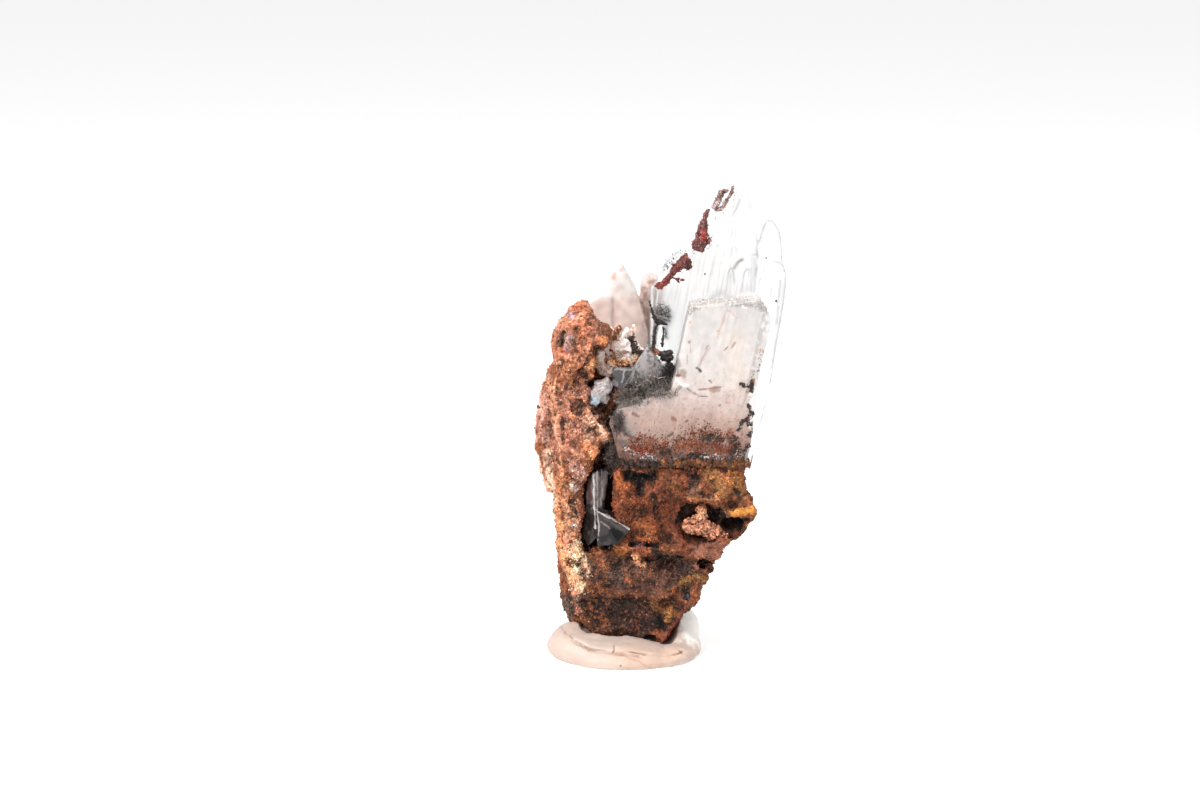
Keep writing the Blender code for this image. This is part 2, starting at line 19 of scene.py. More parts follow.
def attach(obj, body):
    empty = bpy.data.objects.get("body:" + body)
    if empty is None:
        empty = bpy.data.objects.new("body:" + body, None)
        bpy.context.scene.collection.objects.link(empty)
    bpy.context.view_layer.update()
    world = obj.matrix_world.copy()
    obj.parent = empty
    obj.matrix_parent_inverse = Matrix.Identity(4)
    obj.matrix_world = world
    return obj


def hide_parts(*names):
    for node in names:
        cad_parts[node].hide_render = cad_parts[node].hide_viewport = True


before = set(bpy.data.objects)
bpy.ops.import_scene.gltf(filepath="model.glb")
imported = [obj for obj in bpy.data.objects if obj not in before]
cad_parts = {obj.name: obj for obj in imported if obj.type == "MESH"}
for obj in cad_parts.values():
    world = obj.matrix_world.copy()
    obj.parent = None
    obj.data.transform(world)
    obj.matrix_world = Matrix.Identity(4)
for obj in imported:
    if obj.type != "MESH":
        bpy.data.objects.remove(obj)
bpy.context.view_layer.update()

MM = 0.001
print("solids:", ", ".join(sorted(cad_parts)))

# %% [markdown]
# A few tools come first. Operators act on everything that is selected, so one tool selects a
# single piece. Another adds a modifier and applies it at once, as a sculptor would finish one
# step before the next.

# %% Selecting, applying and copying
def pick(piece):
    """Select one piece alone and make it the active one."""
    if bpy.context.object and bpy.context.object.mode != "OBJECT":
        bpy.ops.object.mode_set(mode="OBJECT")
    bpy.ops.object.select_all(action="DESELECT")
    piece.select_set(True)
    bpy.context.view_layer.objects.active = piece


def shape_with(piece, kind, **settings):
    """Add one modifier with its settings and apply it."""
    pick(piece)
    modifier = piece.modifiers.new(kind.title(), kind)
    for key, value in settings.items():
        setattr(modifier, key, value)
    bpy.ops.object.modifier_apply(modifier=modifier.name)
    return piece


def copy_of(node, name):
    """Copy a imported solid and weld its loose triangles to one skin."""
    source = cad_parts[node]
    mesh = source.data.copy()
    mesh.transform(source.matrix_world)
    mesh.materials.clear()
    piece = bpy.data.objects.new(name, mesh)
    bpy.context.scene.collection.objects.link(piece)
    pick(piece)
    bpy.ops.object.mode_set(mode="EDIT")
    bpy.ops.mesh.select_all(action="SELECT")
    bpy.ops.mesh.remove_doubles(threshold=0.001 * MM)
    bpy.ops.object.mode_set(mode="OBJECT")
    return piece


def triangles(piece):
    """Count a piece's triangles."""
    piece.data.calc_loop_triangles()
    return len(piece.data.loop_triangles)


def relief(piece, kind, size, depth, level=0.5, guide=None, **settings):
    """Push the skin in and out by one noise of that grain size and depth, both in mm."""
    pattern = bpy.data.textures.new(f"{piece.name}_{kind.lower()}", kind)
    pattern.noise_scale = size * MM
    for key, value in settings.items():
        setattr(pattern, key, value)
    where = {"texture_coords": "LOCAL"}
    if guide:
        pattern.noise_scale = size
        where = {"texture_coords": "OBJECT", "texture_coords_object": guide}
    return shape_with(piece, "DISPLACE", texture=pattern, strength=depth * MM,
                      mid_level=level, **where)


def smooth_under(piece, angle):
    """Shade smoothly, but keep edges sharper than the angle, in degrees."""
    pick(piece)
    bpy.ops.object.shade_smooth_by_angle(angle=math.radians(angle))


# %% [markdown]
# Colour on this stone changes from place to place: orange crumbs, black hollows, a pale patch,
# a stain that fades. Such colours follow the stone and not a pattern, so they are kept on its
# points as an attribute, built up from soft patches whose rims are broken by noise. The
# materials read that attribute and add the fine grain.

# %% Colours and patches
def linear(code):
    """Turn an sRGB hex colour to linear red, green and blue."""
    channels = np.array([int(code[i:i + 2], 16) / 255 for i in (0, 2, 4)])
    return np.where(channels <= 0.04045, channels / 12.92, ((channels + 0.055) / 1.055) ** 2.4)


def points_of(piece):
    """All of a piece's points in millimetres."""
    flat = np.empty(len(piece.data.vertices) * 3)
    piece.data.vertices.foreach_get("co", flat)
    return flat.reshape(-1, 3) / MM


def noise_at(points, size, seed=0.0):
    """Smooth noise from -1 to 1 at every point, with features of that size in mm."""
    shift = Vector((seed, seed * 1.7, -seed))
    return np.array([noise.noise(Vector(p) / size + shift) for p in points])


def store_colours(piece, colours, name="zone", domain="POINT"):
    """Keep one colour for each point of a piece, or for each corner of its faces."""
    layer = piece.data.color_attributes.new(name, "FLOAT_COLOR", domain)
    rgba = np.ones((len(colours), 4))
    rgba[:, :3] = np.clip(colours, 0.0, 1.0)
    layer.data.foreach_set("color", rgba.ravel())


def blend_patches(points, ground, patches, ragged=0.35, size=0.9):
    """Lay soft patches, each a centre, half sizes, colour and strength, over a ground."""
    colours = np.tile(linear(ground), (len(points), 1))
    edge = noise_at(points, size) * ragged + noise_at(points, size * 0.3, 3.1) * ragged * 0.6
    for centre, half_sizes, code, strength in patches:
        distance = np.linalg.norm((points - np.array(centre)) / np.array(half_sizes), axis=1)
        weight = np.clip((1.15 - distance + edge) / 0.4, 0.0, 1.0) * strength
        colours += (linear(code) - colours) * weight[:, None]
    return colours


print("rust brown in linear light:", linear("90593D").round(3))

# %% [markdown]
# Every finish is a node tree. One small tool adds a node, sets it up, and feeds its inputs with
# plain values or with other nodes' outputs.

# %% Node tool
def add(tree, kind, feeds=None, **settings):
    """Add a node with its settings, and its inputs as values or as outputs to link."""
    item = tree.nodes.new(kind)
    for key, value in settings.items():
        setattr(item, key, value)
    for socket, value in (feeds or {}).items():
        if isinstance(value, bpy.types.NodeSocket):
            tree.links.new(value, item.inputs[socket])
        else:
            item.inputs[socket].default_value = value
    return item


def new_finish(name):
    """Start a material and return it with its tree and its empty output."""
    material = bpy.data.materials.new(name)
    material.use_nodes = True
    tree = material.node_tree
    tree.nodes.clear()
    output = add(tree, "ShaderNodeOutputMaterial")
    return material, tree, output


def per_mm(size):
    """The texture scale whose features are that many millimetres across."""
    return 1.0 / (size * MM)


# %% [markdown]
# The camera stands about 31 cm away, twelve degrees above the specimen, with a long lens, so the
# prisms keep nearly parallel edges. The floor and the air round it are white, as on a light
# table: the clear crystal shows only by what it bends.

# %% Camera
CAMERA_PLACE = Vector((-5.515, -305.866, 88.887)) * MM
CAMERA_TILT = math.radians(78.0)
bpy.ops.object.camera_add(location=CAMERA_PLACE, rotation=(CAMERA_TILT, 0.0, 0.0))
camera = bpy.context.object
camera.data.lens = 100.0
camera.data.sensor_width = 36.0
camera.data.clip_start = 0.01
bpy.context.scene.camera = camera
print("camera at mm:", [round(v / MM) for v in camera.location])

# %% Floor and light
ROOM_FRONT = 0.6
ROOM_BACK = 1.1
FLOOR_GLOW = 0.5
bpy.context.scene.view_settings.view_transform = "Standard"
bpy.ops.mesh.primitive_plane_add(size=3.0, location=(0.0, 0.0, 0.0))
floor = bpy.context.object
floor.name = "floor"
board, tree, output = new_finish("matt white board")
place = add(tree, "ShaderNodeTexCoord").outputs["Object"]
parts = add(tree, "ShaderNodeSeparateXYZ", {0: place})
side = add(tree, "ShaderNodeMath", {0: parts.outputs["X"]}, operation="ABSOLUTE")
far = add(tree, "ShaderNodeMath", {0: parts.outputs["Y"], 1: 306 * MM}, operation="ADD")
ahead = add(tree, "ShaderNodeMath", {0: far.outputs[0], 1: 60 * MM}, operation="MAXIMUM")
spread = add(tree, "ShaderNodeMath", {0: side.outputs[0], 1: ahead.outputs[0]},
             operation="DIVIDE")
across = add(tree, "ShaderNodeMapRange", {
    "Value": spread.outputs[0], "From Min": 0.19, "From Max": 0.34,
    "To Min": 1.0, "To Max": 0.3})
near = add(tree, "ShaderNodeMapRange", {
    "Value": parts.outputs["Y"], "From Min": -130 * MM, "From Max": -60 * MM,
    "To Min": 0.35, "To Max": 1.0})
glow = add(tree, "ShaderNodeMath", {0: across.outputs[0], 1: near.outputs[0]},
           operation="MULTIPLY")
strength = add(tree, "ShaderNodeMath", {0: glow.outputs[0], 1: FLOOR_GLOW},
               operation="MULTIPLY")
shader = add(tree, "ShaderNodeBsdfPrincipled", {
    "Base Color": (0.6, 0.6, 0.6, 1.0), "Roughness": 0.9, "Specular IOR Level": 0.0,
    "Emission Color": (1.0, 1.0, 1.0, 1.0), "Emission Strength": strength.outputs[0]})
tree.links.new(shader.outputs[0], output.inputs["Surface"])
floor.data.materials.append(board)

world = bpy.data.worlds.new("white room")
bpy.context.scene.world = world
world.use_nodes = True
tree = world.node_tree
tree.nodes.clear()
direction = add(tree, "ShaderNodeTexCoord").outputs["Generated"]
parts = add(tree, "ShaderNodeSeparateXYZ", {0: direction})
behind = add(tree, "ShaderNodeMapRange", {
    "Value": parts.outputs["Y"], "From Min": 0.55, "From Max": 0.96,
    "To Min": ROOM_FRONT, "To Max": ROOM_BACK})
sky = add(tree, "ShaderNodeBackground", {
    "Color": (1.0, 1.0, 1.0, 1.0), "Strength": behind.outputs["Result"]})
output = add(tree, "ShaderNodeOutputWorld", {"Surface": sky.outputs[0]})


def soft_light(name, place, aim, size, power):
    """Hang a square soft box at a place in mm, facing a point."""
    bpy.ops.object.light_add(type="AREA", location=Vector(place) * MM)
    lamp = bpy.context.object
    lamp.name = name
    lamp.data.size = size * MM
    lamp.data.energy = power
    toward = (Vector(aim) - Vector(place)).normalized()
    lamp.rotation_euler = toward.to_track_quat("-Z", "Y").to_euler()
    return lamp


soft_light("key box", (-190.0, -230.0, 260.0), (0.0, 0.0, 20.0), 160.0, 1.5)
soft_light("top box", (60.0, -20.0, 320.0), (0.0, 0.0, 20.0), 200.0, 0.6)
print("two soft boxes over a white board")

# %% [markdown]
# The matrix is a gossan: goethite and hematite left behind when sulphides weathered away. It is
# crumbly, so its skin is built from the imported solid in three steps: a fine even skin, relief at
# three grain sizes, and then thinning, which keeps small faces only where the skin is rough.

# %% Matrix skin
SKIN_GRAIN = 0.12
SKIN_LIMIT = 190000
rock = copy_of("matrix", "gossan_matrix")
shape_with(rock, "REMESH", mode="VOXEL", voxel_size=SKIN_GRAIN * MM)
print("even skin:", triangles(rock), "triangles")

# %% [markdown]
# The rock's face is read from the front, so its marks are too. Each one is a soft stroke between
# two points, across and up, with a radius, a push in or out, and a colour. All are in mm, drawn
# on an upright sheet through the front of the rock and carried back along the line of sight.

# %% Marks on the face
SHEET = -6.0
VIEW_SLOPE = math.tan(math.radians(12.0))
FACE_BACK = -1.5
# name, path, radius, push, colour, strength
# Near-black in the holes, cracks, gaps, slot, valley, cavity and cleft is painted shade over the hollows pressed
# there, and so is the dark of the lower band.
MARKS = [
    ("red cap", [(-7.53, 33.93), (-7.53, 33.93)], 0.63, 0.1, "A8553A", 0.77),
    ("grey-purple patch", [(-8.17, 33.10), (-7.98, 33.00)], 0.40, 0, "957C86", 0.68),
    ("orange-pink ridge", [(-7.16, 32.82), (-6.80, 30.30)], 0.54, 0.15, "C47C5E", 0.72),
    ("black slit", [(-8.90, 31.42), (-9.27, 30.30)], 0.22, -0.3, "36241D", 0.85),
    ("grey crystal patch", [(-8.35, 31.05), (-8.45, 30.02)], 0.36, 0.1, "948489", 0.68),
    ("red spots", [(-9.37, 29.83), (-8.27, 29.55)], 0.23, 0, "A04A36", 0.59),
    ("dark cavity", [(-5.88, 29.83), (-5.52, 29.65)], 0.45, -0.4, "40271E", 0.85),
    ("yellow-orange knob", [(-5.33, 30.86), (-5.06, 30.68)], 0.31, 0.35, "BA7850", 0.81),
    ("grey-brown crumbs", [(-6.16, 32.63), (-5.24, 31.70)], 0.45, 0.1, "6A4B42", 0.68),
    ("tan shoulder", [(-6.07, 28.62), (-5.70, 28.34)], 0.54, 0.15, "C58A5E", 0.72),
    ("dark valley", [(-7.08, 27.68), (-6.53, 26.65)], 0.40, -0.275, "462D24", 0.81),
    ("dark crack", [(-7.35, 27.78), (-6.43, 29.18)], 0.18, -0.2, "442A21", 0.77),
    ("orange streak", [(-8.09, 27.12), (-8.00, 26.46)], 0.22, 0.1, "CF7A46", 0.77),
    ("dark spot", [(-9.10, 24.87), (-9.01, 24.68)], 0.36, -0.125, "493028", 0.77),
    ("pinkish middle", [(-8.09, 25.62), (-7.72, 25.15)], 0.90, 0, "A06E5A", 0.59),
    ("orange specks", [(-8.09, 23.74), (-7.91, 23.55)], 0.27, 0.1, "C87E52", 0.77),
    ("orange rim specks", [(-9.47, 24.02), (-9.57, 23.27)], 0.23, 0.05, "C8825C", 0.68),
    ("dark streak", [(-9.01, 23.27), (-8.93, 21.19)], 0.22, -0.15, "513227", 0.72),
    ("tan band", [(-5.97, 24.68), (-6.62, 21.57)], 0.54, 0.05, "BE917A", 0.68),
    ("pale tan tip", [(-5.42, 22.51), (-4.96, 21.57)], 0.49, 0.25, "CFA088", 0.77),
    ("orange-yellow lobe", [(-6.81, 20.72), (-6.07, 20.15)], 0.63, 0.2, "C8825A", 0.81),
    ("glassy pink zone", [(-7.73, 18.73), (-7.46, 18.16)], 0.63, 0.1, "A98379", 0.72),
    ("pale left rim", [(-10.20, 27.03), (-9.84, 22.79)], 0.32, 0, "C78768", 0.68),
    ("big pale grain", [(-8.01, 17.02), (-7.92, 16.83)], 0.36, 0.35, "B9A098", 0.81),
    ("orange left rim", [(-9.49, 17.59), (-9.23, 9.95)], 0.45, 0.05, "BC7850", 0.68),
    ("dark gap", [(-8.01, 15.69), (-7.83, 14.16)], 0.36, -0.3, "412921", 0.81),
    ("white grain upper", [(-7.97, 13.40), (-7.93, 13.35)], 0.21, 0.35, "CFC3BE", 0.85),
    ("white grain lower", [(-7.65, 11.77), (-7.61, 11.73)], 0.21, 0.35, "C9BDB9", 0.85),
    ("greyish pink foot", [(-8.76, 12.06), (-8.39, 10.33)], 0.45, 0, "B08070", 0.68),
    ("pale orange foot", [(-8.12, 9.76), (-7.56, 7.64)], 0.58, 0.2, "F2C8A6", 0.95),
    ("pale tan edge", [(-6.91, 10.43), (-6.72, 8.60)], 0.31, 0.2, "F2C8AA", 0.85),
    ("salmon chip", [(-7.84, 6.87), (-7.47, 4.94)], 0.36, 0.3, "B4705F", 0.95),
    ("dark grey nub", [(-8.31, 6.10), (-8.22, 4.36)], 0.40, 0.2, "352F2D", 0.95),
    ("pale streak", [(-7.66, 6.29), (-7.38, 4.85)], 0.14, 0.1, "D8B095", 0.9),
    ("furry cleft wall", [(-4.78, 20.24), (-5.24, 16.83)], 0.81, -0.2, "463630", 0.95),
    # painted shade in the deep cleft
    ("cleft depth", [(-5.33, 13.30), (-4.96, 11.87)], 0.90, -0.3, "15100F", 1),
    ("dark red strip", [(-7.18, 17.40), (-7.09, 11.20)], 0.18, 0.1, "642826", 0.9),
    ("green-black hollow", [(-3.02, 17.97), (-1.82, 17.78), (-0.71, 18.06)], 0.52, -0.6, "1B211D", 1),
    ("green-black floor", [(-1.82, 17.11), (-1.72, 16.35)], 0.36, -0.4, "1A1D1A", 1),
    ("rust knob", [(-1.82, 19.20), (-1.45, 19.11)], 0.45, 0.25, "7C4628", 0.85),
    ("orange lump", [(-3.94, 18.16), (-3.20, 16.92)], 0.54, 0.3, "94502A", 0.9),
    ("rust left", [(-4.22, 14.92), (-1.81, 15.40)], 0.99, 0.1, "743E24", 0.8),
    ("rust low", [(-1.81, 13.59), (-0.88, 12.06)], 0.81, 0.15, "95552F", 0.85),
    ("dark diagonal", [(-0.70, 15.97), (0.42, 12.82)], 0.32, -0.25, "4A2A18", 0.5),
    ("brown shadow", [(0.77, 17.59), (1.52, 16.64)], 0.63, -0.1, "5E3A1D", 0.6),
    ("dark grey bruise", [(2.99, 17.78), (3.18, 17.40)], 0.54, 0, "43342E", 0.85),
    ("pinkish bruise", [(3.46, 16.64), (3.00, 16.35)], 0.45, 0.1, "87604C", 0.8),
    ("tan upper right", [(4.28, 18.73), (5.77, 16.64)], 0.72, 0.05, "8A6138", 0.7),
    ("olive upper right", [(6.31, 19.11), (7.53, 16.45)], 0.63, 0.05, "8A5C32", 0.8),
    ("dark right spots", [(6.97, 16.64), (7.44, 15.88)], 0.27, -0.15, "3A2A27", 0.8),
    ("rim over vug", [(2.63, 15.88), (5.41, 15.78)], 0.23, 0.25, "9C6540", 0.85),
    ("vug left", [(2.63, 15.02), (1.62, 13.68)], 0.40, -0.8, "58443C", 1),
    ("vug right", [(5.60, 14.35), (7.28, 13.21)], 0.49, -0.9, "6A5248", 1),
    ("yellow lump", [(6.80, 14.54), (8.56, 14.83)], 0.41, 0.35, "A86E30", 1),
    ("lump shadow", [(6.90, 13.68), (8.20, 13.78)], 0.22, -0.3, "2A1A12", 0.9),
    ("pinkish under vug", [(3.21, 11.29), (7.02, 11.39)], 0.4, 0.1, "6A443A", 0.7),
    ("dark slot", [(-2.54, 11.58), (-0.32, 11.48)], 0.25, -0.9, "24101A", 1),
    ("pink sparkle", [(-2.08, 11.39), (-1.62, 11.29)], 0.13, 0, "86606C", 0.9),
    ("tan nub", [(-2.26, 10.24), (-1.52, 9.47)], 0.36, 0.45, "BE8864", 0.95),
    ("dark by nub", [(-0.31, 10.81), (0.43, 10.14)], 0.45, -0.2, "27201D", 0.9),
    ("round bulge", [(-5.52, 9.66), (-3.47, 8.32)], 0.99, 0.35, "46372F", 0.85),
    ("orange dusting", [(-5.70, 9.95), (-5.14, 9.37)], 0.54, 0.05, "84492A", 0.59),
    ("ochre dusting", [(-3.84, 10.81), (-3.29, 10.62)], 0.45, 0.1, "935828", 0.8),
    ("second bulge", [(-1.79, 8.32), (-0.68, 8.60)], 0.72, 0.3, "6B4635", 0.8),
    ("orange spot", [(-3.00, 8.12), (-2.72, 7.93)], 0.36, 0.1, "96583A", 0.8),
    ("dark brown middle", [(1.18, 9.95), (2.48, 8.99)], 0.81, -0.1, "3A2C26", 0.85),
    ("brown knob", [(0.43, 11.10), (1.17, 10.91)], 0.45, 0.15, "6C4226", 0.8),
    ("pink crumbs", [(3.49, 10.62), (5.82, 10.33)], 0.45, 0.25, "7E5242", 0.75),
    # painted shade in the hole
    ("small hole", [(4.06, 9.57), (4.62, 9.28)], 0.32, -0.9, "100B0A", 1),
    ("hole rim", [(3.50, 9.37), (3.69, 9.09)], 0.23, 0.2, "8E5E4C", 0.8),
    ("ochre right", [(3.51, 8.41), (4.25, 8.03)], 0.45, 0.2, "7E5A30", 0.8),
    ("ochre middle", [(2.02, 7.64), (2.86, 8.22)], 0.36, 0.15, "7A5528", 0.85),
    ("black shard", [(2.49, 7.06), (2.59, 6.20)], 0.36, -0.3, "141517", 1),
    ("shard glint", [(2.59, 6.58), (2.59, 6.29)], 0.11, 0, "6F7B8A", 1),
    # painted shade on the lower band, which faces down
    ("lower band painted shade", [(-6.91, 6.10), (-1.32, 4.36)], 1.08, 0, "30211C", 0.85),
    ("brown lower right", [(-0.48, 5.52), (1.38, 4.75)], 0.54, 0.1, "714A24", 0.8),
    ("bright yellow", [(1.19, 5.52), (0.83, 4.07)], 0.31, 0.15, "94663A", 0.85),
    ("grey lower", [(-0.57, 4.07), (0.08, 3.78)], 0.36, 0, "3B3635", 0.8),
    ("rust tip", [(-0.29, 2.72), (0.46, 2.43)], 0.45, 0.1, "86492A", 0.85),
    # painted shade in the hole at the tip
    ("black tip hole", [(-1.13, 2.23), (-0.56, 2.14)], 0.29, -0.6, "0C0A0A", 1),
    ("rust ridge by chip", [(-4.87, 23.83), (-4.50, 24.77), (-3.95, 25.62), (-3.58, 25.99)], 0.42, 0.4, "8A5638", 0.9),
    ("pale foot knob", [(-7.75, 10.2), (-7.75, 9.4)], 0.6, 0.7, "E8B88E", 0.9),
    ("pale foot column", [(-7.74, 11.29), (-7.65, 9.95), (-7.65, 8.60), (-7.38, 7.45)], 0.55, 0.15, "F4CCA4", 0.95),
    ("orange foot rim", [(-9.22, 13.30), (-9.14, 11.39), (-8.49, 9.37), (-7.93, 8.03)], 0.45, 0.1, "CC8A60", 0.9),
    ("purple side", [(-10.85, 25.34), (-10.86, 23.45), (-10.59, 21.38)], 0.5, 0.05, "BC8A7C", 0.85),
    ("tan side", [(-10.41, 20.24), (-10.23, 17.97), (-9.87, 15.40)], 0.42, 0.05, "E6B79E", 0.95),
    ("pale side rim", [(-9.56, 27.21), (-10.02, 24.21), (-9.30, 20.91), (-8.94, 17.59), (-8.57, 14.26)], 0.1, 0.05, "D8A080", 0.55),
    ("red right rim", [(3.05, 6.29), (0.18, 1.75)], 0.18, 0.2, "753C30", 0.9),
]


def on_sheet(points):
    """Slide points along the line of sight to the drawing sheet: across and up, in mm."""
    return np.stack([points[:, 0], points[:, 2] + (points[:, 1] - SHEET) * VIEW_SLOPE], axis=1)


def stroke_distance(flat, path):
    """How far points on the sheet lie from a stroke along a path."""
    nearest = np.full(len(flat), np.inf)
    for start, end in zip(path, path[1:]):
        a, along = np.array(start), np.array(end) - np.array(start)
        share = np.clip(((flat - a) @ along) / max(along @ along, 1e-9), 0.0, 1.0)
        nearest = np.minimum(nearest, np.linalg.norm(flat - a - share[:, None] * along, axis=1))
    return nearest


def normals_of(piece):
    """A piece's outward directions at its points."""
    flat = np.empty(len(piece.data.vertices) * 3)
    piece.data.vertices.foreach_get("normal", flat)
    return flat.reshape(-1, 3)


def move_points(piece, points):
    """Write a piece's points back, from mm."""
    piece.data.vertices.foreach_set("co", (points * MM).ravel())
    piece.data.update()


def push_marks(piece, marks):
    """Press hollows and raise lumps where the marks say."""
    points = points_of(piece)
    flat = on_sheet(points)
    push = np.zeros(len(points))
    for name, path, radius, depth, code, strength in marks:
        push += depth * np.exp(-1.4 * (stroke_distance(flat, path) / radius) ** 2)
    push *= np.clip((FACE_BACK - points[:, 1]) / 0.6, 0.0, 1.0)
    move_points(piece, points + normals_of(piece) * push[:, None])


push_marks(rock, MARKS)
relief(rock, "CLOUDS", 1.9, 0.55, level=0.5, noise_depth=3)
relief(rock, "VORONOI", 0.55, 0.3, level=0.42, weight_1=-1.0, weight_2=1.0)
relief(rock, "CLOUDS", 0.3, 0.2, level=0.5, noise_depth=2)
shape_with(rock, "DECIMATE", ratio=min(1.0, SKIN_LIMIT / triangles(rock)))
smooth_under(rock, 60.0)
print("matrix skin:", triangles(rock), "triangles and", len(MARKS), "marks")

# %% [markdown]
# Broad colours come first: an orange wall, a cleft painted dark as shade, a rusty middle, and
# two dark bands below a ledge, painted dark as shade under the ledge and on the lower faces. The
# marks go over them. Last, painted shade and light: crumbs that stand out are painted paler, and
# the pits between them are painted dark, which is measured against a smoothed copy of the skin.

# %% Matrix colours
GROUND = "7A4529"
ROCK_PATCHES = [
    ((-8.0, -3.0, 30.5), (3.0, 4.5, 4.6), "B97C63", 0.9),
    ((-8.0, -4.0, 23.5), (3.0, 4.0, 5.0), "B47B66", 0.9),
    ((-8.4, -4.5, 13.0), (2.0, 3.0, 6.0), "C48A6A", 0.9),
    ((-10.9, 3.4, 21.5), (3.4, 5.6, 5.5), "D8A898", 1.0),
    ((-10.6, 2.6, 14.5), (3.0, 5.0, 4.6), "E2B49C", 1.0),
    ((0.4, -7.0, 14.2), (5.2, 2.4, 4.0), "64301B", 0.9),
    ((4.2, -6.6, 17.9), (4.0, 2.4, 1.5), "84492F", 0.8),
    ((4.4, -4.6, 13.4), (2.4, 1.6, 2.2), "4A2A1E", 0.8),
    # painted shade under the ledge
    ((-1.0, -6.0, 8.6), (6.6, 2.6, 1.9), "4E3A32", 0.8),
    # painted shade on the lowest band, whose faces turn down from the light
    ((-2.0, -4.6, 4.0), (6.2, 3.2, 2.7), "2F201B", 0.9),
    # painted shade deep in the cleft
    ((-5.2, -3.6, 14.0), (1.6, 3.0, 4.6), "2E1E1B", 0.95),
    ((-4.6, -3.2, 23.8), (1.6, 3.0, 3.0), "43332D", 0.9),
    ((-1.2, -3.6, 26.0), (3.4, 2.6, 1.6), "3E312B", 0.9),
    # painted shade along the contact under the milky foot
    ((1.5, -6.8, 19.4), (6.6, 1.4, 0.5), "33221D", 0.85),
    ((-8.4, 0.0, 4.4), (1.4, 3.0, 2.0), "3A3634", 0.8),
    ((0.0, 5.0, 6.0), (9.0, 3.0, 4.0), "5B3B2B", 0.7),
    ((-3.0, 6.0, 24.0), (6.0, 4.0, 2.0), "8C6450", 0.7),
]


def speckle(points, colours, size, amount, seed):
    """Lighten and darken colours by noise of one grain size."""
    factor = 1.0 + amount * noise_at(points, size, seed)
    return colours * np.clip(factor, 0.15, 2.5)[:, None]


def lay_marks(points, colours, marks):
    """Lay the marks' colours over a skin, with ragged rims."""
    flat = on_sheet(points)
    flat[:, 0] += noise_at(points, 0.7, 12.0) * 0.12
    flat[:, 1] += noise_at(points, 0.7, 15.0) * 0.12
    ragged = noise_at(points, 0.5, 4.0) * 0.7 + noise_at(points, 0.2, 9.0) * 0.45
    front = np.clip((FACE_BACK - points[:, 1]) / 0.6, 0.0, 1.0)
    for name, path, radius, depth, code, strength in marks:
        distance = stroke_distance(flat, path) / radius
        weight = np.clip((1.2 - distance + ragged) / 0.5, 0.0, 1.0) * strength * front
        colours = colours + (linear(code) - colours) * weight[:, None]
    return colours


def height_over(piece, rounds):
    """How far each point stands over a smoothed copy of the skin, in mm."""
    mesh = piece.data
    edges = np.empty(len(mesh.edges) * 2, dtype=np.int64)
    mesh.edges.foreach_get("vertices", edges)
    here, there = edges[0::2], edges[1::2]
    points = points_of(piece)
    count = np.bincount(here, minlength=len(points)) + np.bincount(there, minlength=len(points))
    smooth = points.copy()
    for step in range(rounds):
        total = np.zeros_like(smooth)
        for axis in range(3):
            total[:, axis] = np.bincount(here, smooth[there, axis], len(points))
            total[:, axis] += np.bincount(there, smooth[here, axis], len(points))
        smooth = total / np.maximum(count, 1)[:, None]
    return np.einsum("ij,ij->i", points - smooth, normals_of(piece))


def cavity_shade_and_light(piece, colours, depth, dark, pale, rounds=14):
    """Paint shade into pits and light onto what stands out; depth in mm gives the full effect."""
    height = np.clip(height_over(piece, rounds) / depth, -1.0, 1.0)
    factor = np.where(height < 0.0, 1.0 + height * (1.0 - dark), 1.0 + height * (pale - 1.0))
    return colours * factor[:, None]


def pepper(points, colours, size, level, code, strength, where=1.0):
    """Dot a skin with small grains of one colour."""
    dots = np.clip((noise_at(points, size, size * 90.0) - level) * 7.0, 0.0, 1.0) * where
    return colours + (linear(code) - colours) * (dots * strength)[:, None]


rock_points = points_of(rock)
rock_colours = blend_patches(rock_points, GROUND, ROCK_PATCHES)
rock_colours = lay_marks(rock_points, rock_colours, MARKS)
rock_colours = speckle(rock_points, rock_colours, 0.9, 0.4, 7.3)
rock_colours = speckle(rock_points, rock_colours, 0.28, 0.55, 1.9)
# painted shade in the pits and painted light on what stands out
rock_colours = cavity_shade_and_light(rock, rock_colours, 0.16, 0.2, 1.5)
rock_colours = pepper(rock_points, rock_colours, 0.17, 0.32, "2A1812", 0.8)
wall = np.clip((-4.5 - rock_points[:, 0]) / 1.0, 0.0, 1.0)
rock_colours = pepper(rock_points, rock_colours, 0.32, 0.3, "C2703C", 0.55, wall)
rock_colours = pepper(rock_points, rock_colours, 0.2, 0.4, "E8B890", 0.6, wall)
rock_colours = pepper(rock_points, rock_colours, 0.26, 0.42, "4A2A20", 0.8, wall)
dark_bands = np.clip((11.5 - on_sheet(rock_points)[:, 1]) / 2.0, 0.0, 1.0)
rock_colours = pepper(rock_points, rock_colours, 0.2, 0.3, "8E4E30", 0.7, dark_bands)
store_colours(rock, rock_colours)
print("broad patches:", len(ROCK_PATCHES), "marks:", len(MARKS))

# %% [markdown]
# Gossan: earthy iron oxide with a dull, matt break and a few bright crystal faces. The eye reads
# it by its crumbs, so the finish adds a grain of 0.12 mm to colour and bump, darkens the pits,
# and lets one cell in many shine.

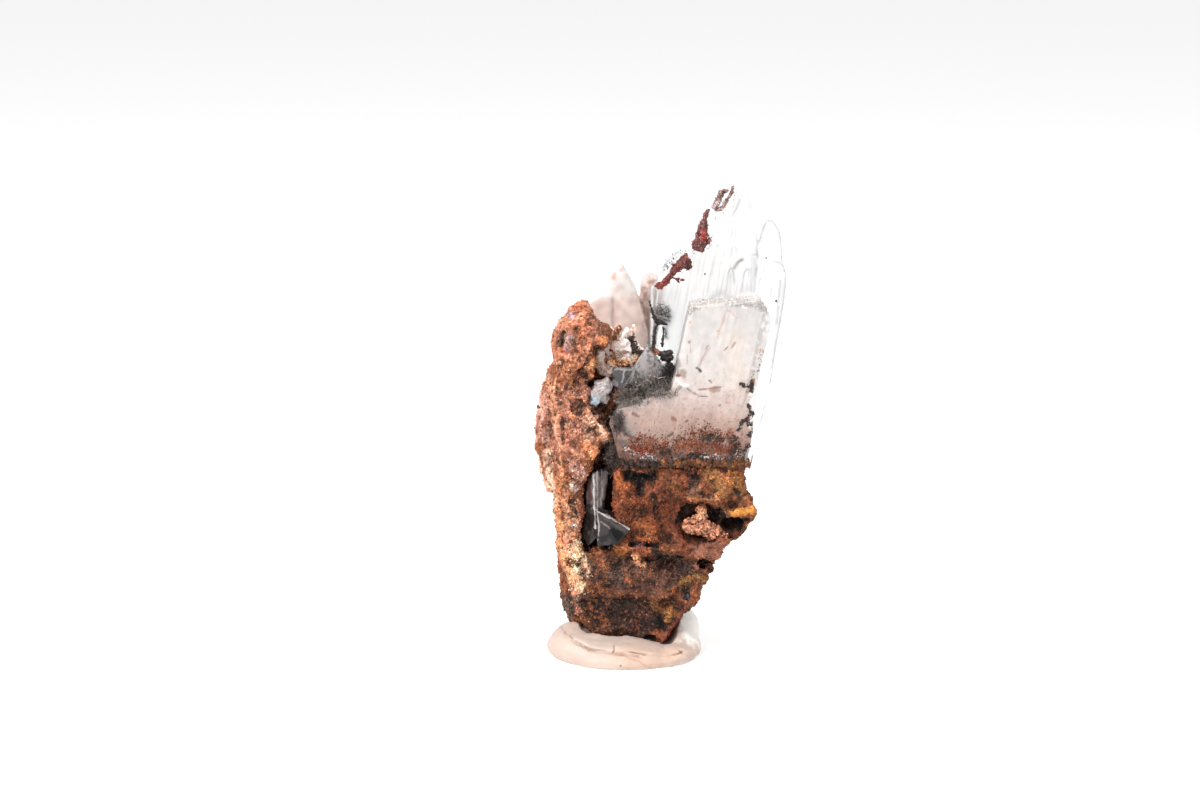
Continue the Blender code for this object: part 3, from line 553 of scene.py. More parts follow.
# %% Gossan finish
def gossan_finish():
    material, tree, output = new_finish("gossan, earthy goethite")
    place = add(tree, "ShaderNodeTexCoord").outputs["Object"]
    zone = add(tree, "ShaderNodeAttribute", attribute_name="zone").outputs["Color"]
    grain = add(tree, "ShaderNodeTexNoise", {
        "Vector": place, "Scale": per_mm(0.22), "Detail": 6.0, "Roughness": 0.7})
    shade = add(tree, "ShaderNodeMapRange", {
        "Value": grain.outputs["Fac"], "From Min": 0.3, "From Max": 0.7,
        "To Min": 0.45, "To Max": 1.6})
    toned = add(tree, "ShaderNodeVectorMath", {0: zone, 1: shade.outputs["Result"]},
                operation="MULTIPLY")
    cells = add(tree, "ShaderNodeTexVoronoi", {"Vector": place, "Scale": per_mm(0.16)})
    pick_cell = add(tree, "ShaderNodeSeparateColor", {"Color": cells.outputs["Color"]})
    bright = add(tree, "ShaderNodeMapRange", {
        "Value": pick_cell.outputs[0], "From Min": 0.95, "From Max": 0.97,
        "To Max": 0.2})
    tint = add(tree, "ShaderNodeMix", {
        0: bright.outputs["Result"], 6: toned.outputs[0], 7: (*linear("C99A78"), 1.0)},
        data_type="RGBA")
    gloss = add(tree, "ShaderNodeMapRange", {
        "Value": pick_cell.outputs[1], "From Min": 0.85, "From Max": 0.9,
        "To Min": 0.9, "To Max": 0.3})
    bump = add(tree, "ShaderNodeBump", {
        "Strength": 0.7, "Distance": 0.12 * MM, "Height": grain.outputs["Fac"]})
    shader = add(tree, "ShaderNodeBsdfPrincipled", {
        "Base Color": tint.outputs[2], "Roughness": gloss.outputs["Result"],
        "Specular IOR Level": 0.4, "Normal": bump.outputs["Normal"]})
    tree.links.new(shader.outputs[0], output.inputs["Surface"])
    return material


GOSSAN = gossan_finish()
rock.data.materials.append(GOSSAN)
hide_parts("matrix")
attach(rock, "root")

# %% [markdown]
# Loose-looking crumbs give the wall its sugar-like texture. One crumb is modelled once, a
# dented twenty-sided ball, and copied thousands of times: each copy takes a random size and
# turn, sits half sunk at a random point of the skin, and takes the colour of its place, lighter
# or darker.

# %% Scattering crumbs
def crumb_form(dent, seed):
    """Model one crumb with twenty faces and return its points and faces."""
    bpy.ops.mesh.primitive_ico_sphere_add(subdivisions=1, radius=1.0)
    ball = bpy.context.object
    chance = random.Random(seed)
    for vertex in ball.data.vertices:
        vertex.co *= 1.0 + chance.uniform(-dent, dent)
    points = np.array([vertex.co[:] for vertex in ball.data.vertices])
    faces = np.array([face.vertices[:] for face in ball.data.polygons])
    bpy.data.objects.remove(ball)
    return points, faces


def surface_spots(host, count, chance, allow=None):
    """Random points on a skin, in mm, with their outward directions and nearest vertex."""
    mesh = host.data
    mesh.calc_loop_triangles()
    corners = np.empty(len(mesh.loop_triangles) * 3, dtype=np.int64)
    mesh.loop_triangles.foreach_get("vertices", corners)
    corners = corners.reshape(-1, 3)
    points = points_of(host)
    a, b, c = points[corners[:, 0]], points[corners[:, 1]], points[corners[:, 2]]
    normals = np.cross(b - a, c - a)
    areas = np.linalg.norm(normals, axis=1)
    weights = areas.copy()
    if allow is not None:
        weights = weights * allow((a + b + c) / 3, normals / np.maximum(areas, 1e-12)[:, None])
    chosen = chance.choice(len(areas), size=count, p=weights / weights.sum())
    u = np.sqrt(chance.random(count))[:, None]
    v = chance.random(count)[:, None]
    spots = a[chosen] * (1 - u) + b[chosen] * (u * (1 - v)) + c[chosen] * (u * v)
    outward = normals[chosen] / np.maximum(areas[chosen], 1e-12)[:, None]
    return spots, outward, corners[chosen, 0]


def along(paths, radius):
    """Favour front faces near strokes on the drawing sheet."""
    def allow(points, normals):
        flat = on_sheet(points)
        nearest = np.minimum.reduce([stroke_distance(flat, path) for path in paths])
        return np.exp(-(nearest / radius) ** 2) * np.clip(-normals[:, 1], 0.0, 1.0)
    return allow


def random_turns(count, chance):
    """Evenly spread random rotations as matrices."""
    q = chance.normal(size=(count, 4))
    q /= np.linalg.norm(q, axis=1)[:, None]
    w, x, y, z = q.T
    rows = [1 - 2 * (y * y + z * z), 2 * (x * y - z * w), 2 * (x * z + y * w),
            2 * (x * y + z * w), 1 - 2 * (x * x + z * z), 2 * (y * z - x * w),
            2 * (x * z - y * w), 2 * (y * z + x * w), 1 - 2 * (x * x + y * y)]
    return np.stack(rows, axis=1).reshape(-1, 3, 3)


def joined_copies(name, form, spots, turns, sizes, colours, material):
    """Make one mesh of a form's copies, each turned, sized in mm, placed and coloured."""
    points, faces = form
    copies = np.einsum("nij,pj->npi", turns, points) if sizes.ndim == 1 else \
        np.einsum("nij,npj->npi", turns, points[None] * sizes[:, None, :])
    if sizes.ndim == 1:
        copies = copies * sizes[:, None, None]
    placed = (copies + spots[:, None, :]).reshape(-1, 3) * MM
    steps = np.arange(len(spots))[:, None, None] * len(points)
    joined = (faces[None] + steps).reshape(-1, faces.shape[1])
    mesh = bpy.data.meshes.new(name)
    mesh.from_pydata(placed.tolist(), [], joined.tolist())
    mesh.update()
    piece = bpy.data.objects.new(name, mesh)
    bpy.context.scene.collection.objects.link(piece)
    store_colours(piece, np.repeat(colours, len(points), axis=0))
    mesh.materials.append(material)
    return piece


def vary(colours, chance, low, high):
    """Lighten or darken each colour by its own random amount."""
    return colours * chance.uniform(low, high, len(colours))[:, None]


def grains_on(host, name, allow, count, low, high, codes, material, seed, spread=0.4):
    """Strew crumbs of a few colours where a skin allows them; sizes in mm."""
    chance = np.random.default_rng(seed)
    spots, outward, nearest = surface_spots(host, count, chance, allow)
    palette = np.array([linear(code) for code in codes])
    sizes = chance.uniform(low, high, (count, 1)) * chance.uniform(0.4, 1.5, (count, 3))
    colours = vary(palette[chance.integers(0, len(codes), count)], chance, 1.0 - spread,
                   1.0 + spread)
    piece = joined_copies(name, CRUMB, spots, random_turns(count, chance), sizes, colours,
                          material)
    settle(piece)
    return piece


def settle(piece):
    """Let a piece go with the specimen and print its triangle count."""
    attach(piece, "root")
    print(piece.name, triangles(piece), "triangles")


def rock_crumbs(name, count, low, high, dark, pale, seed, allow=None):
    """Strew crumbs that take the rock's colour at their place, darker or paler."""
    chance = np.random.default_rng(seed)
    spots, outward, nearest = surface_spots(rock, count, chance, allow)
    sizes = chance.uniform(low, high, (count, 1)) * chance.uniform(0.6, 1.4, (count, 3))
    colours = vary(rock_colours[nearest], chance, dark, pale)
    piece = joined_copies(name, CRUMB, spots + outward * 0.02, random_turns(count, chance), sizes,
                          colours, GOSSAN)
    settle(piece)


CRUMB = crumb_form(0.28, 5)
WALL = [(-6.89, 32.63), (-7.35, 27.03), (-6.90, 21.38), (-7.37, 15.69), (-7.84, 10.91)]
BANDS = [[(-5.52, 8.99), (-0.86, 8.51), (2.86, 8.51)], [(-6.45, 5.14), (-1.79, 4.65), (1.01, 4.17)]]
RUST = [[(-3.20, 15.69), (-0.88, 13.78), (0.96, 15.69), (3.73, 17.59), (7.43, 17.59)], [(-3.66, 12.82), (0.05, 11.39)]]
rock_crumbs("gossan_crumbs", 8500, 0.04, 0.13, 0.5, 1.5, 11)
rock_crumbs("wall_crumbs", 6500, 0.03, 0.09, 0.5, 1.8, 81, along([WALL], 2.3))
rock_crumbs("band_crumbs", 4500, 0.03, 0.08, 0.3, 2.1, 82, along(BANDS, 1.6))
rock_crumbs("rust_crumbs", 4500, 0.03, 0.08, 0.4, 1.8, 83, along(RUST, 1.3))
grains_on(rock, "pale_foot_crumbs", along([[(-8.39, 11.10), (-8.12, 9.95), (-7.93, 8.51), (-7.66, 7.06)]], 0.4),
          300, 0.04, 0.11, ["E6BE9A", "DAAC86", "EAC8AA"], GOSSAN, 19, 0.15)

# %% [markdown]
# The leaning blade is a bundle of clear barite prisms that grew side by side, with rounded
# tips. It is one clear solid: light that passes through must meet no walls inside. What the eye
# reads are the fine steps on its front, so the front is a fine leaning grid, pressed along the
# growth lines and lined by slow noise. The rim of the bundle then cuts it out.

# %% Clear blade
LEAN = math.radians(12.0)
FACE = -2.35
BLADE_BACK = 1.1
# the rim and the lines are across and up, in mm, in the plane of the front
SILHOUETTE = [
    (-0.79, 17.68), (-0.85, 34.96), (-0.43, 35.38), (0.21, 36.08), (0.39, 37.20), (1.13, 38.14),
    (1.95, 38.61), (2.78, 38.51), (3.06, 38.89), (3.42, 40.19), (3.60, 41.12), (3.96, 42.05),
    (4.42, 42.52), (4.97, 42.70), (5.70, 43.54), (6.42, 44.46), (6.93, 44.79), (7.25, 44.46),
    (7.62, 44.05), (8.04, 43.49), (8.34, 42.96), (8.48, 42.42), (8.58, 41.96), (8.75, 41.54),
    (8.89, 40.75), (9.00, 39.35), (9.18, 39.54), (9.35, 40.01), (9.52, 40.66), (9.69, 41.07),
    (9.93, 41.33), (10.21, 41.36), (10.57, 41.09), (10.81, 40.66), (11.04, 40.19),
    (11.15, 39.66), (11.23, 38.90), (11.30, 38.33), (11.35, 37.48), (11.47, 36.83),
    (11.69, 36.41), (11.71, 35.42), (11.63, 34.67), (11.56, 33.83), (11.23, 31.66),
    (10.89, 29.64), (10.54, 27.13), (10.08, 24.37), (9.36, 21.80), (8.51, 17.68)]
# path, radius, depth
GROWTH_LINES = [
    ([(8.87, 36.05), (8.92, 36.76), (8.97, 37.95), (9.00, 39.35)], 0.12, 0.07),
    ([(11.58, 34.78), (11.67, 35.52), (11.64, 36.36), (11.33, 37.02), (11.25, 37.11),
      (10.85, 37.35), (10.20, 37.35)], 0.10, 0.05),
    ([(11.33, 37.39), (11.29, 38.33), (11.19, 39.17), (11.03, 40.01), (10.74, 40.61),
      (10.32, 41.12), (9.93, 41.22), (9.63, 40.80), (9.41, 39.91), (9.12, 39.17)], 0.12, 0.07),
    ([(8.45, 34.58), (8.46, 36.46), (8.44, 37.71), (8.56, 38.03), (8.97, 38.03),
      (9.03, 37.67)], 0.09, 0.06),
    ([(8.77, 34.58), (8.87, 36.08), (8.92, 36.76)], 0.09, 0.05),
    ([(7.61, 34.58), (7.81, 36.41), (8.10, 36.70), (8.28, 36.62)], 0.09, 0.06),
    ([(8.09, 34.58), (8.20, 35.61), (8.22, 36.46)], 0.09, 0.05),
    ([(6.10, 34.58), (6.33, 36.17), (6.47, 36.68), (6.58, 36.80), (6.80, 36.52),
      (6.88, 35.52), (6.89, 34.58)], 0.10, 0.08),
    ([(6.53, 36.17), (6.49, 34.58)], 0.08, 0.05),
    ([(6.68, 38.65), (6.57, 37.83), (6.47, 37.00)], 0.09, 0.05),
    ([(7.03, 38.65), (7.04, 37.71)], 0.08, 0.04),
    ([(7.34, 43.14), (7.06, 42.37), (6.60, 41.55)], 0.10, 0.05),
    ([(6.82, 41.12), (6.55, 39.63)], 0.09, 0.03),
    ([(4.89, 37.39), (4.60, 35.71), (4.31, 34.11)], 0.09, 0.03),
    ([(4.60, 36.08), (4.52, 34.67)], 0.11, 0.025),
    ([(6.95, 40.56), (6.88, 38.70)], 0.08, 0.03),
    ([(9.31, 35.87), (8.97, 34.11)], 0.08, 0.05),
    ([(11.15, 35.61), (10.93, 33.12), (10.79, 31.48)], 0.10, 0.06),
    ([(11.59, 34.67), (11.47, 33.55), (11.16, 31.76), (10.81, 29.78), (10.46, 27.32)], 0.12, 0.08),
    ([(7.62, 43.95), (8.01, 43.45), (8.29, 42.89), (8.47, 42.05), (8.62, 41.59)], 0.11, 0.03),
    ([(5.45, 40.19), (5.14, 38.05), (4.83, 36.17)], 0.08, 0.02),
    ([(3.71, 37.39), (3.45, 35.71), (3.18, 33.83)], 0.08, 0.02),
    ([(5.65, 37.39), (5.39, 35.42), (5.26, 34.21)], 0.08, 0.03),
    ([(2.80, 36.46), (2.44, 34.21)], 0.08, 0.02),
    ([(1.87, 36.08), (1.42, 33.36), (1.06, 31.00)], 0.09, 0.02),
    ([(1.05, 35.42), (0.68, 33.27), (0.51, 31.00)], 0.08, 0.02),
    ([(2.62, 34.77), (2.17, 32.14), (1.81, 29.59)], 0.08, 0.02),
    ([(9.46, 34.58), (9.24, 33.27)], 0.07, 0.05),
    ([(9.99, 36.83), (9.83, 35.24), (9.65, 33.83)], 0.07, 0.04),
    ([(10.45, 36.83), (10.34, 34.77), (10.12, 33.27)], 0.07, 0.04),
    ([(7.47, 39.91), (7.26, 38.51)], 0.07, 0.03),
    ([(6.10, 39.45), (5.83, 37.77)], 0.07, 0.03),
    ([(9.71, 37.39), (9.45, 35.42)], 0.07, 0.03),
    ([(-0.25, 34.77), (-0.38, 33.36)], 0.09, 0.05),
    ([(0.39, 36.83), (0.76, 37.39), (1.49, 38.14), (2.23, 38.42)], 0.10, 0.05),
]
# path, radius, colour seen through, strength
TINTS = [
    ([(-0.52, 34.58), (0.40, 33.83), (0.78, 32.14)], 1.0, "DCDCDC", 0.85),
    ([(0.78, 31.48), (1.16, 29.59), (1.91, 27.98)], 0.8, "DFDFDF", 0.7),
    ([(1.33, 34.21), (1.89, 32.14), (2.09, 29.59)], 1.15, "E3E3E3", 0.8),
    ([(-0.24, 32.89), (0.32, 32.32), (0.78, 32.32)], 0.45, "8A8284", 0.9),
    ([(0.78, 33.08), (0.78, 31.57)], 0.28, "A8A2A4", 0.75),
    ([(-0.42, 31.19), (-0.51, 29.49)], 0.22, "7E8486", 0.9),
    ([(0.60, 31.38), (0.70, 30.25)], 0.2, "A29E9F", 0.8),
    ([(1.73, 28.17), (1.92, 27.13)], 0.33, "9E9694", 0.8),
    ([(4.84, 34.02), (5.40, 34.44), (5.95, 34.53), (6.51, 34.11)], 0.4, "C6C4C4", 0.8),
    ([(6.87, 36.82), (7.22, 37.39), (7.60, 37.63)], 0.17, "9C948F", 0.95),
    ([(9.76, 41.26), (10.13, 41.33), (10.50, 41.17)], 0.16, "DCD0D8", 0.7),
    ([(8.71, 37.77), (8.76, 36.17), (8.61, 34.58)], 0.2, "D6D6D8", 0.6),
    ([(6.58, 36.36), (6.53, 35.33), (6.50, 34.58)], 0.26, "DEDAD2", 0.7),
    ([(3.73, 34.96), (5.20, 35.52), (7.05, 35.33)], 1.4, "EFEDEC", 0.7),
    ([(11.49, 35.24), (11.24, 32.70), (10.63, 29.12)], 0.35, "E6E4E4", 0.6),
    ([(3.16, 37.39), (3.90, 36.83), (4.82, 37.39)], 1.2, "F0EEEC", 0.6),
    ([(8.88, 37.39), (8.54, 34.77)], 0.3, "E4E2E4", 0.5),
    ([(7.98, 34.96), (7.61, 34.58)], 0.3, "E6DEE2", 0.6),
]


CALM_PATH = [(-0.15, 34.58), (0.78, 32.14), (1.44, 29.12)]


def growth_frame(points):
    """Places drawn out along the prisms, and how strongly the prisms are lined there."""
    across = points[:, 0] * math.cos(LEAN) - points[:, 2] * math.sin(LEAN)
    up = points[:, 0] * math.sin(LEAN) + points[:, 2] * math.cos(LEAN)
    lining = np.stack([across, np.zeros(len(points)), up * 0.05], axis=1)
    calm = np.exp(-(stroke_distance(points[:, [0, 2]], CALM_PATH) / 2.4) ** 2)
    return lining, np.clip((41.0 - up) / 6.0, 0.3, 1.0) * (1.0 - 0.85 * calm)


def growth_relief(points):
    """How far the front stands out, in mm, from lines, steps and the lining of the prisms."""
    flat = points[:, [0, 2]]
    lining, rough = growth_frame(points)
    height = noise_at(lining, 0.34, 3.0) * 0.02 * rough + noise_at(lining, 1.3, 6.0) * 0.07
    height += noise_at(lining, 0.16, 8.0) * 0.007 * rough
    flat = flat + 0.05 * np.stack([noise_at(points, 0.5, 2.0), noise_at(points, 0.5, 5.0)], axis=1)
    for path, radius, depth in GROWTH_LINES:
        height -= depth * np.exp(-1.4 * (stroke_distance(flat, path) / radius) ** 2)
    rim = stroke_distance(flat, SILHOUETTE + SILHOUETTE[:1])
    return height - 0.09 * np.exp(-1.4 * (rim / 0.13) ** 2)


bpy.ops.mesh.primitive_grid_add(x_subdivisions=190, y_subdivisions=300, size=1.0,
                                rotation=(math.radians(90.0), 0.0, 0.0))
blade = bpy.context.object
bpy.ops.object.transform_apply(location=True, rotation=True, scale=True)
blade.data.transform(Matrix.Rotation(LEAN, 4, "Y")
                     @ Matrix.Translation(Vector((-1.85, FACE, 30.8)) * MM)
                     @ Matrix.Diagonal((13.1 * MM, 1.0, 29.6 * MM, 1.0)))
front_points = points_of(blade)
inner = np.zeros(len(front_points), dtype=bool)
inner[[v for face in blade.data.polygons for v in face.vertices]] = True
edge_count = np.zeros(len(front_points))
for edge in blade.data.edges:
    edge_count[edge.vertices[0]] += 1
    edge_count[edge.vertices[1]] += 1
inner &= edge_count == 4
front_points[inner, 1] -= growth_relief(front_points[inner])
move_points(blade, front_points)
pick(blade)
bpy.ops.object.mode_set(mode="EDIT")
bpy.ops.mesh.select_mode(type="EDGE")
bpy.ops.mesh.select_all(action="DESELECT")
bpy.ops.mesh.select_non_manifold()
bpy.ops.mesh.extrude_region_move(TRANSFORM_OT_translate={
    "value": (0.0, (BLADE_BACK - FACE) * MM, 0.0)})
bpy.ops.mesh.edge_face_add()
bpy.ops.mesh.select_mode(type="VERT")
bpy.ops.mesh.select_all(action="SELECT")
bpy.ops.mesh.normals_make_consistent(inside=False)
bpy.ops.object.mode_set(mode="OBJECT")
print("lined block:", triangles(blade), "triangles")

bpy.ops.mesh.primitive_circle_add(vertices=len(SILHOUETTE), fill_type="NGON")
rim = bpy.context.object
for vertex, (x, z) in zip(rim.data.vertices, SILHOUETTE):
    vertex.co = Vector((x, FACE - 1.0, z + VIEW_SLOPE)) * MM
pick(rim)
bpy.ops.object.mode_set(mode="EDIT")
bpy.ops.mesh.select_all(action="SELECT")
bpy.ops.mesh.extrude_region_move(TRANSFORM_OT_translate={
    "value": (0.0, 6.0 * MM, -6.0 * VIEW_SLOPE * MM)})
bpy.ops.mesh.select_all(action="SELECT")
bpy.ops.mesh.normals_make_consistent(inside=False)
bpy.ops.object.mode_set(mode="OBJECT")
shape_with(blade, "BOOLEAN", operation="INTERSECT", solver="EXACT", object=rim)
bpy.data.objects.remove(rim)
blade.name = "clear_barite_blade"
smooth_under(blade, 50.0)
print("blade:", triangles(blade), "triangles,", len(GROWTH_LINES), "growth lines")

# %% [markdown]
# Light that meets a growth step from the front is bent aside, so each step reads as a fine grey
# line, and a veil of tiny flaws greys the lower left. Both are kept as a colour of the front
# faces, through which the light passes.

# %% Growth lines and veils
def growth_tint(points):
    """The colour that the front faces lend to light passing through, with grey lines and a grey rim painted where bent
    light darkens them.
    """
    flat = points[:, [0, 2]]
    lining, rough = growth_frame(points)
    streaks = np.clip((noise_at(lining, 0.2, 13.0) - 0.15) * 3.0, 0.0, 1.0) * rough
    tint = np.ones((len(points), 3)) - 0.1 * streaks[:, None]
    for path, radius, code, strength in TINTS:
        weight = strength * np.exp(-(stroke_distance(flat, path) / radius) ** 2)
        tint += (linear(code) * (1.0 - 0.2 * streaks[:, None]) - tint) * weight[:, None]
    broken = np.clip(0.7 + noise_at(points, 0.9, 21.0) * 1.0, 0.15, 1.0)
    flat = flat + 0.05 * np.stack([noise_at(points, 0.5, 2.0), noise_at(points, 0.5, 5.0)], axis=1)
    for path, radius, depth in GROWTH_LINES:
        weight = min(depth * 14.0, 0.95) * np.exp(-1.2 * (stroke_distance(flat, path) / radius) ** 2)
        tint += (linear(LINE_GREY) - tint) * (weight * broken)[:, None]
    # painted shade: a grey rim along the outline, where light bent at the edge darkens it
    edge = np.exp(-((stroke_distance(flat, SILHOUETTE + SILHOUETTE[:1]) - 0.03) / 0.09) ** 2)
    edge *= np.where((flat[:, 1] > 40.0) & (flat[:, 0] < 9.0), 0.45, 1.0)
    tint += (linear(LINE_GREY) - tint) * (0.75 * edge * broken)[:, None]
    return tint


def front_corners(piece, colours):
    """Spread point colours to the corners of faces that look forward; the others stay white."""
    corners = np.empty(len(piece.data.loops), dtype=np.int64)
    piece.data.loops.foreach_get("vertex_index", corners)
    forward = [face.normal.y < -0.5 for face in piece.data.polygons]
    sizes = [face.loop_total for face in piece.data.polygons]
    return np.where(np.repeat(forward, sizes)[:, None], colours[corners], 1.0)


LINE_GREY = "CACACE"
# light is tinted once, on its way in, and by the square root of the face's colour
store_colours(blade, front_corners(blade, growth_tint(points_of(blade)) ** 2), "veil", "CORNER")

# %% [markdown]
# Clear barite: colourless, glassy, with an index of 1.636, which bends light more than window
# glass does. Growth leaves fine lines along the prism. Some layers are veiled, and there the
# face turns satin.

# %% Clear barite finish
def clear_finish(name, clear, satin, absorb, density):
    material, tree, output = new_finish(name)
    place = add(tree, "ShaderNodeTexCoord").outputs["Object"]
    along = add(tree, "ShaderNodeMapping", {
        "Vector": place, "Rotation": (0.0, -LEAN, 0.0)})
    parts = add(tree, "ShaderNodeSeparateXYZ", {0: along.outputs[0]})
    drawn = add(tree, "ShaderNodeVectorMath", {0: along.outputs[0], 1: (1.0, 1.0, 0.035)},
                operation="MULTIPLY")
    lines = add(tree, "ShaderNodeTexNoise", {
        "Vector": drawn.outputs[0], "Scale": per_mm(0.22), "Detail": 3.0})
    veils = add(tree, "ShaderNodeTexNoise", {
        "Vector": drawn.outputs[0], "Scale": per_mm(0.9), "Detail": 3.0, "Roughness": 0.6})
    left = add(tree, "ShaderNodeMapRange", {
        "Value": parts.outputs["X"], "From Min": -7.5 * MM, "From Max": -4.0 * MM,
        "To Min": 0.22, "To Max": 0.0})
    veiled = add(tree, "ShaderNodeMath", {0: veils.outputs["Fac"], 1: left.outputs[0]},
                 operation="ADD")
    gloss = add(tree, "ShaderNodeMapRange", {
        "Value": veiled.outputs[0], "From Min": 0.48, "From Max": 0.72,
        "To Min": clear, "To Max": satin})
    bump = add(tree, "ShaderNodeBump", {
        "Strength": 0.5, "Distance": 0.05 * MM, "Height": lines.outputs["Fac"]})
    veil = add(tree, "ShaderNodeVertexColor", layer_name="veil").outputs["Color"]
    shader = add(tree, "ShaderNodeBsdfPrincipled", {
        "Base Color": veil, "Roughness": gloss.outputs["Result"],
        "IOR": 1.636, "Transmission Weight": 1.0, "Normal": bump.outputs["Normal"]})
    tree.links.new(shader.outputs[0], output.inputs["Surface"])
    body = add(tree, "ShaderNodeVolumeAbsorption", {
        "Color": (*linear(absorb), 1.0), "Density": density})
    tree.links.new(body.outputs[0], output.inputs["Volume"])
    return material


CLEAR = clear_finish("clear barite, grown faces", 0.02, 0.3, "E4E0DE", 60.0)
blade.data.materials.clear()
blade.data.materials.append(CLEAR)
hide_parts("clear_blade")
settle(blade)

# %% [markdown]
# The milky block and its foot stand in front. They are full of tiny fluid bubbles, which
# scatter light inside, so the crystal looks like frosted glass filled with milk. Its edges are
# a little worn, and a fine skin takes them better than sharp planes.

# %% Milky crystal
def lean_guide(name, stretch):
    """An empty that leans with the prisms and stretches a noise along them."""
    bpy.ops.object.empty_add(location=(0.0, 0.0, 0.0), rotation=(0.0, LEAN, 0.0))
    guide = bpy.context.object
    guide.name = name
    guide.scale = (MM, MM, stretch * MM)
    bpy.context.view_layer.update()
    return guide


milky = copy_of("milky_crystal", "milky_barite_block")
shape_with(milky, "REMESH", mode="VOXEL", voxel_size=0.09 * MM)
guide = lean_guide("growth direction", 14.0)
relief(milky, "CLOUDS", 0.45, 0.10, guide=guide, noise_depth=1)
relief(milky, "CLOUDS", 2.4, 0.30, noise_depth=2)
relief(milky, "VORONOI", 0.8, 0.05)
bpy.data.objects.remove(guide)
smooth_under(milky, 40.0)

# colour by height: the dark low steps are rust from the matrix and painted shade at the contact with the rock
MILKY_GROUND = [(19.1, "38241D"), (19.9, "583B30"), (20.7, "8A6656"), (21.6, "A4877B"), (23.4, "BBA095"),
                (25.4, "CEBDB6"), (27.6, "D7CEC9"), (34.5, "D1CDCB")]
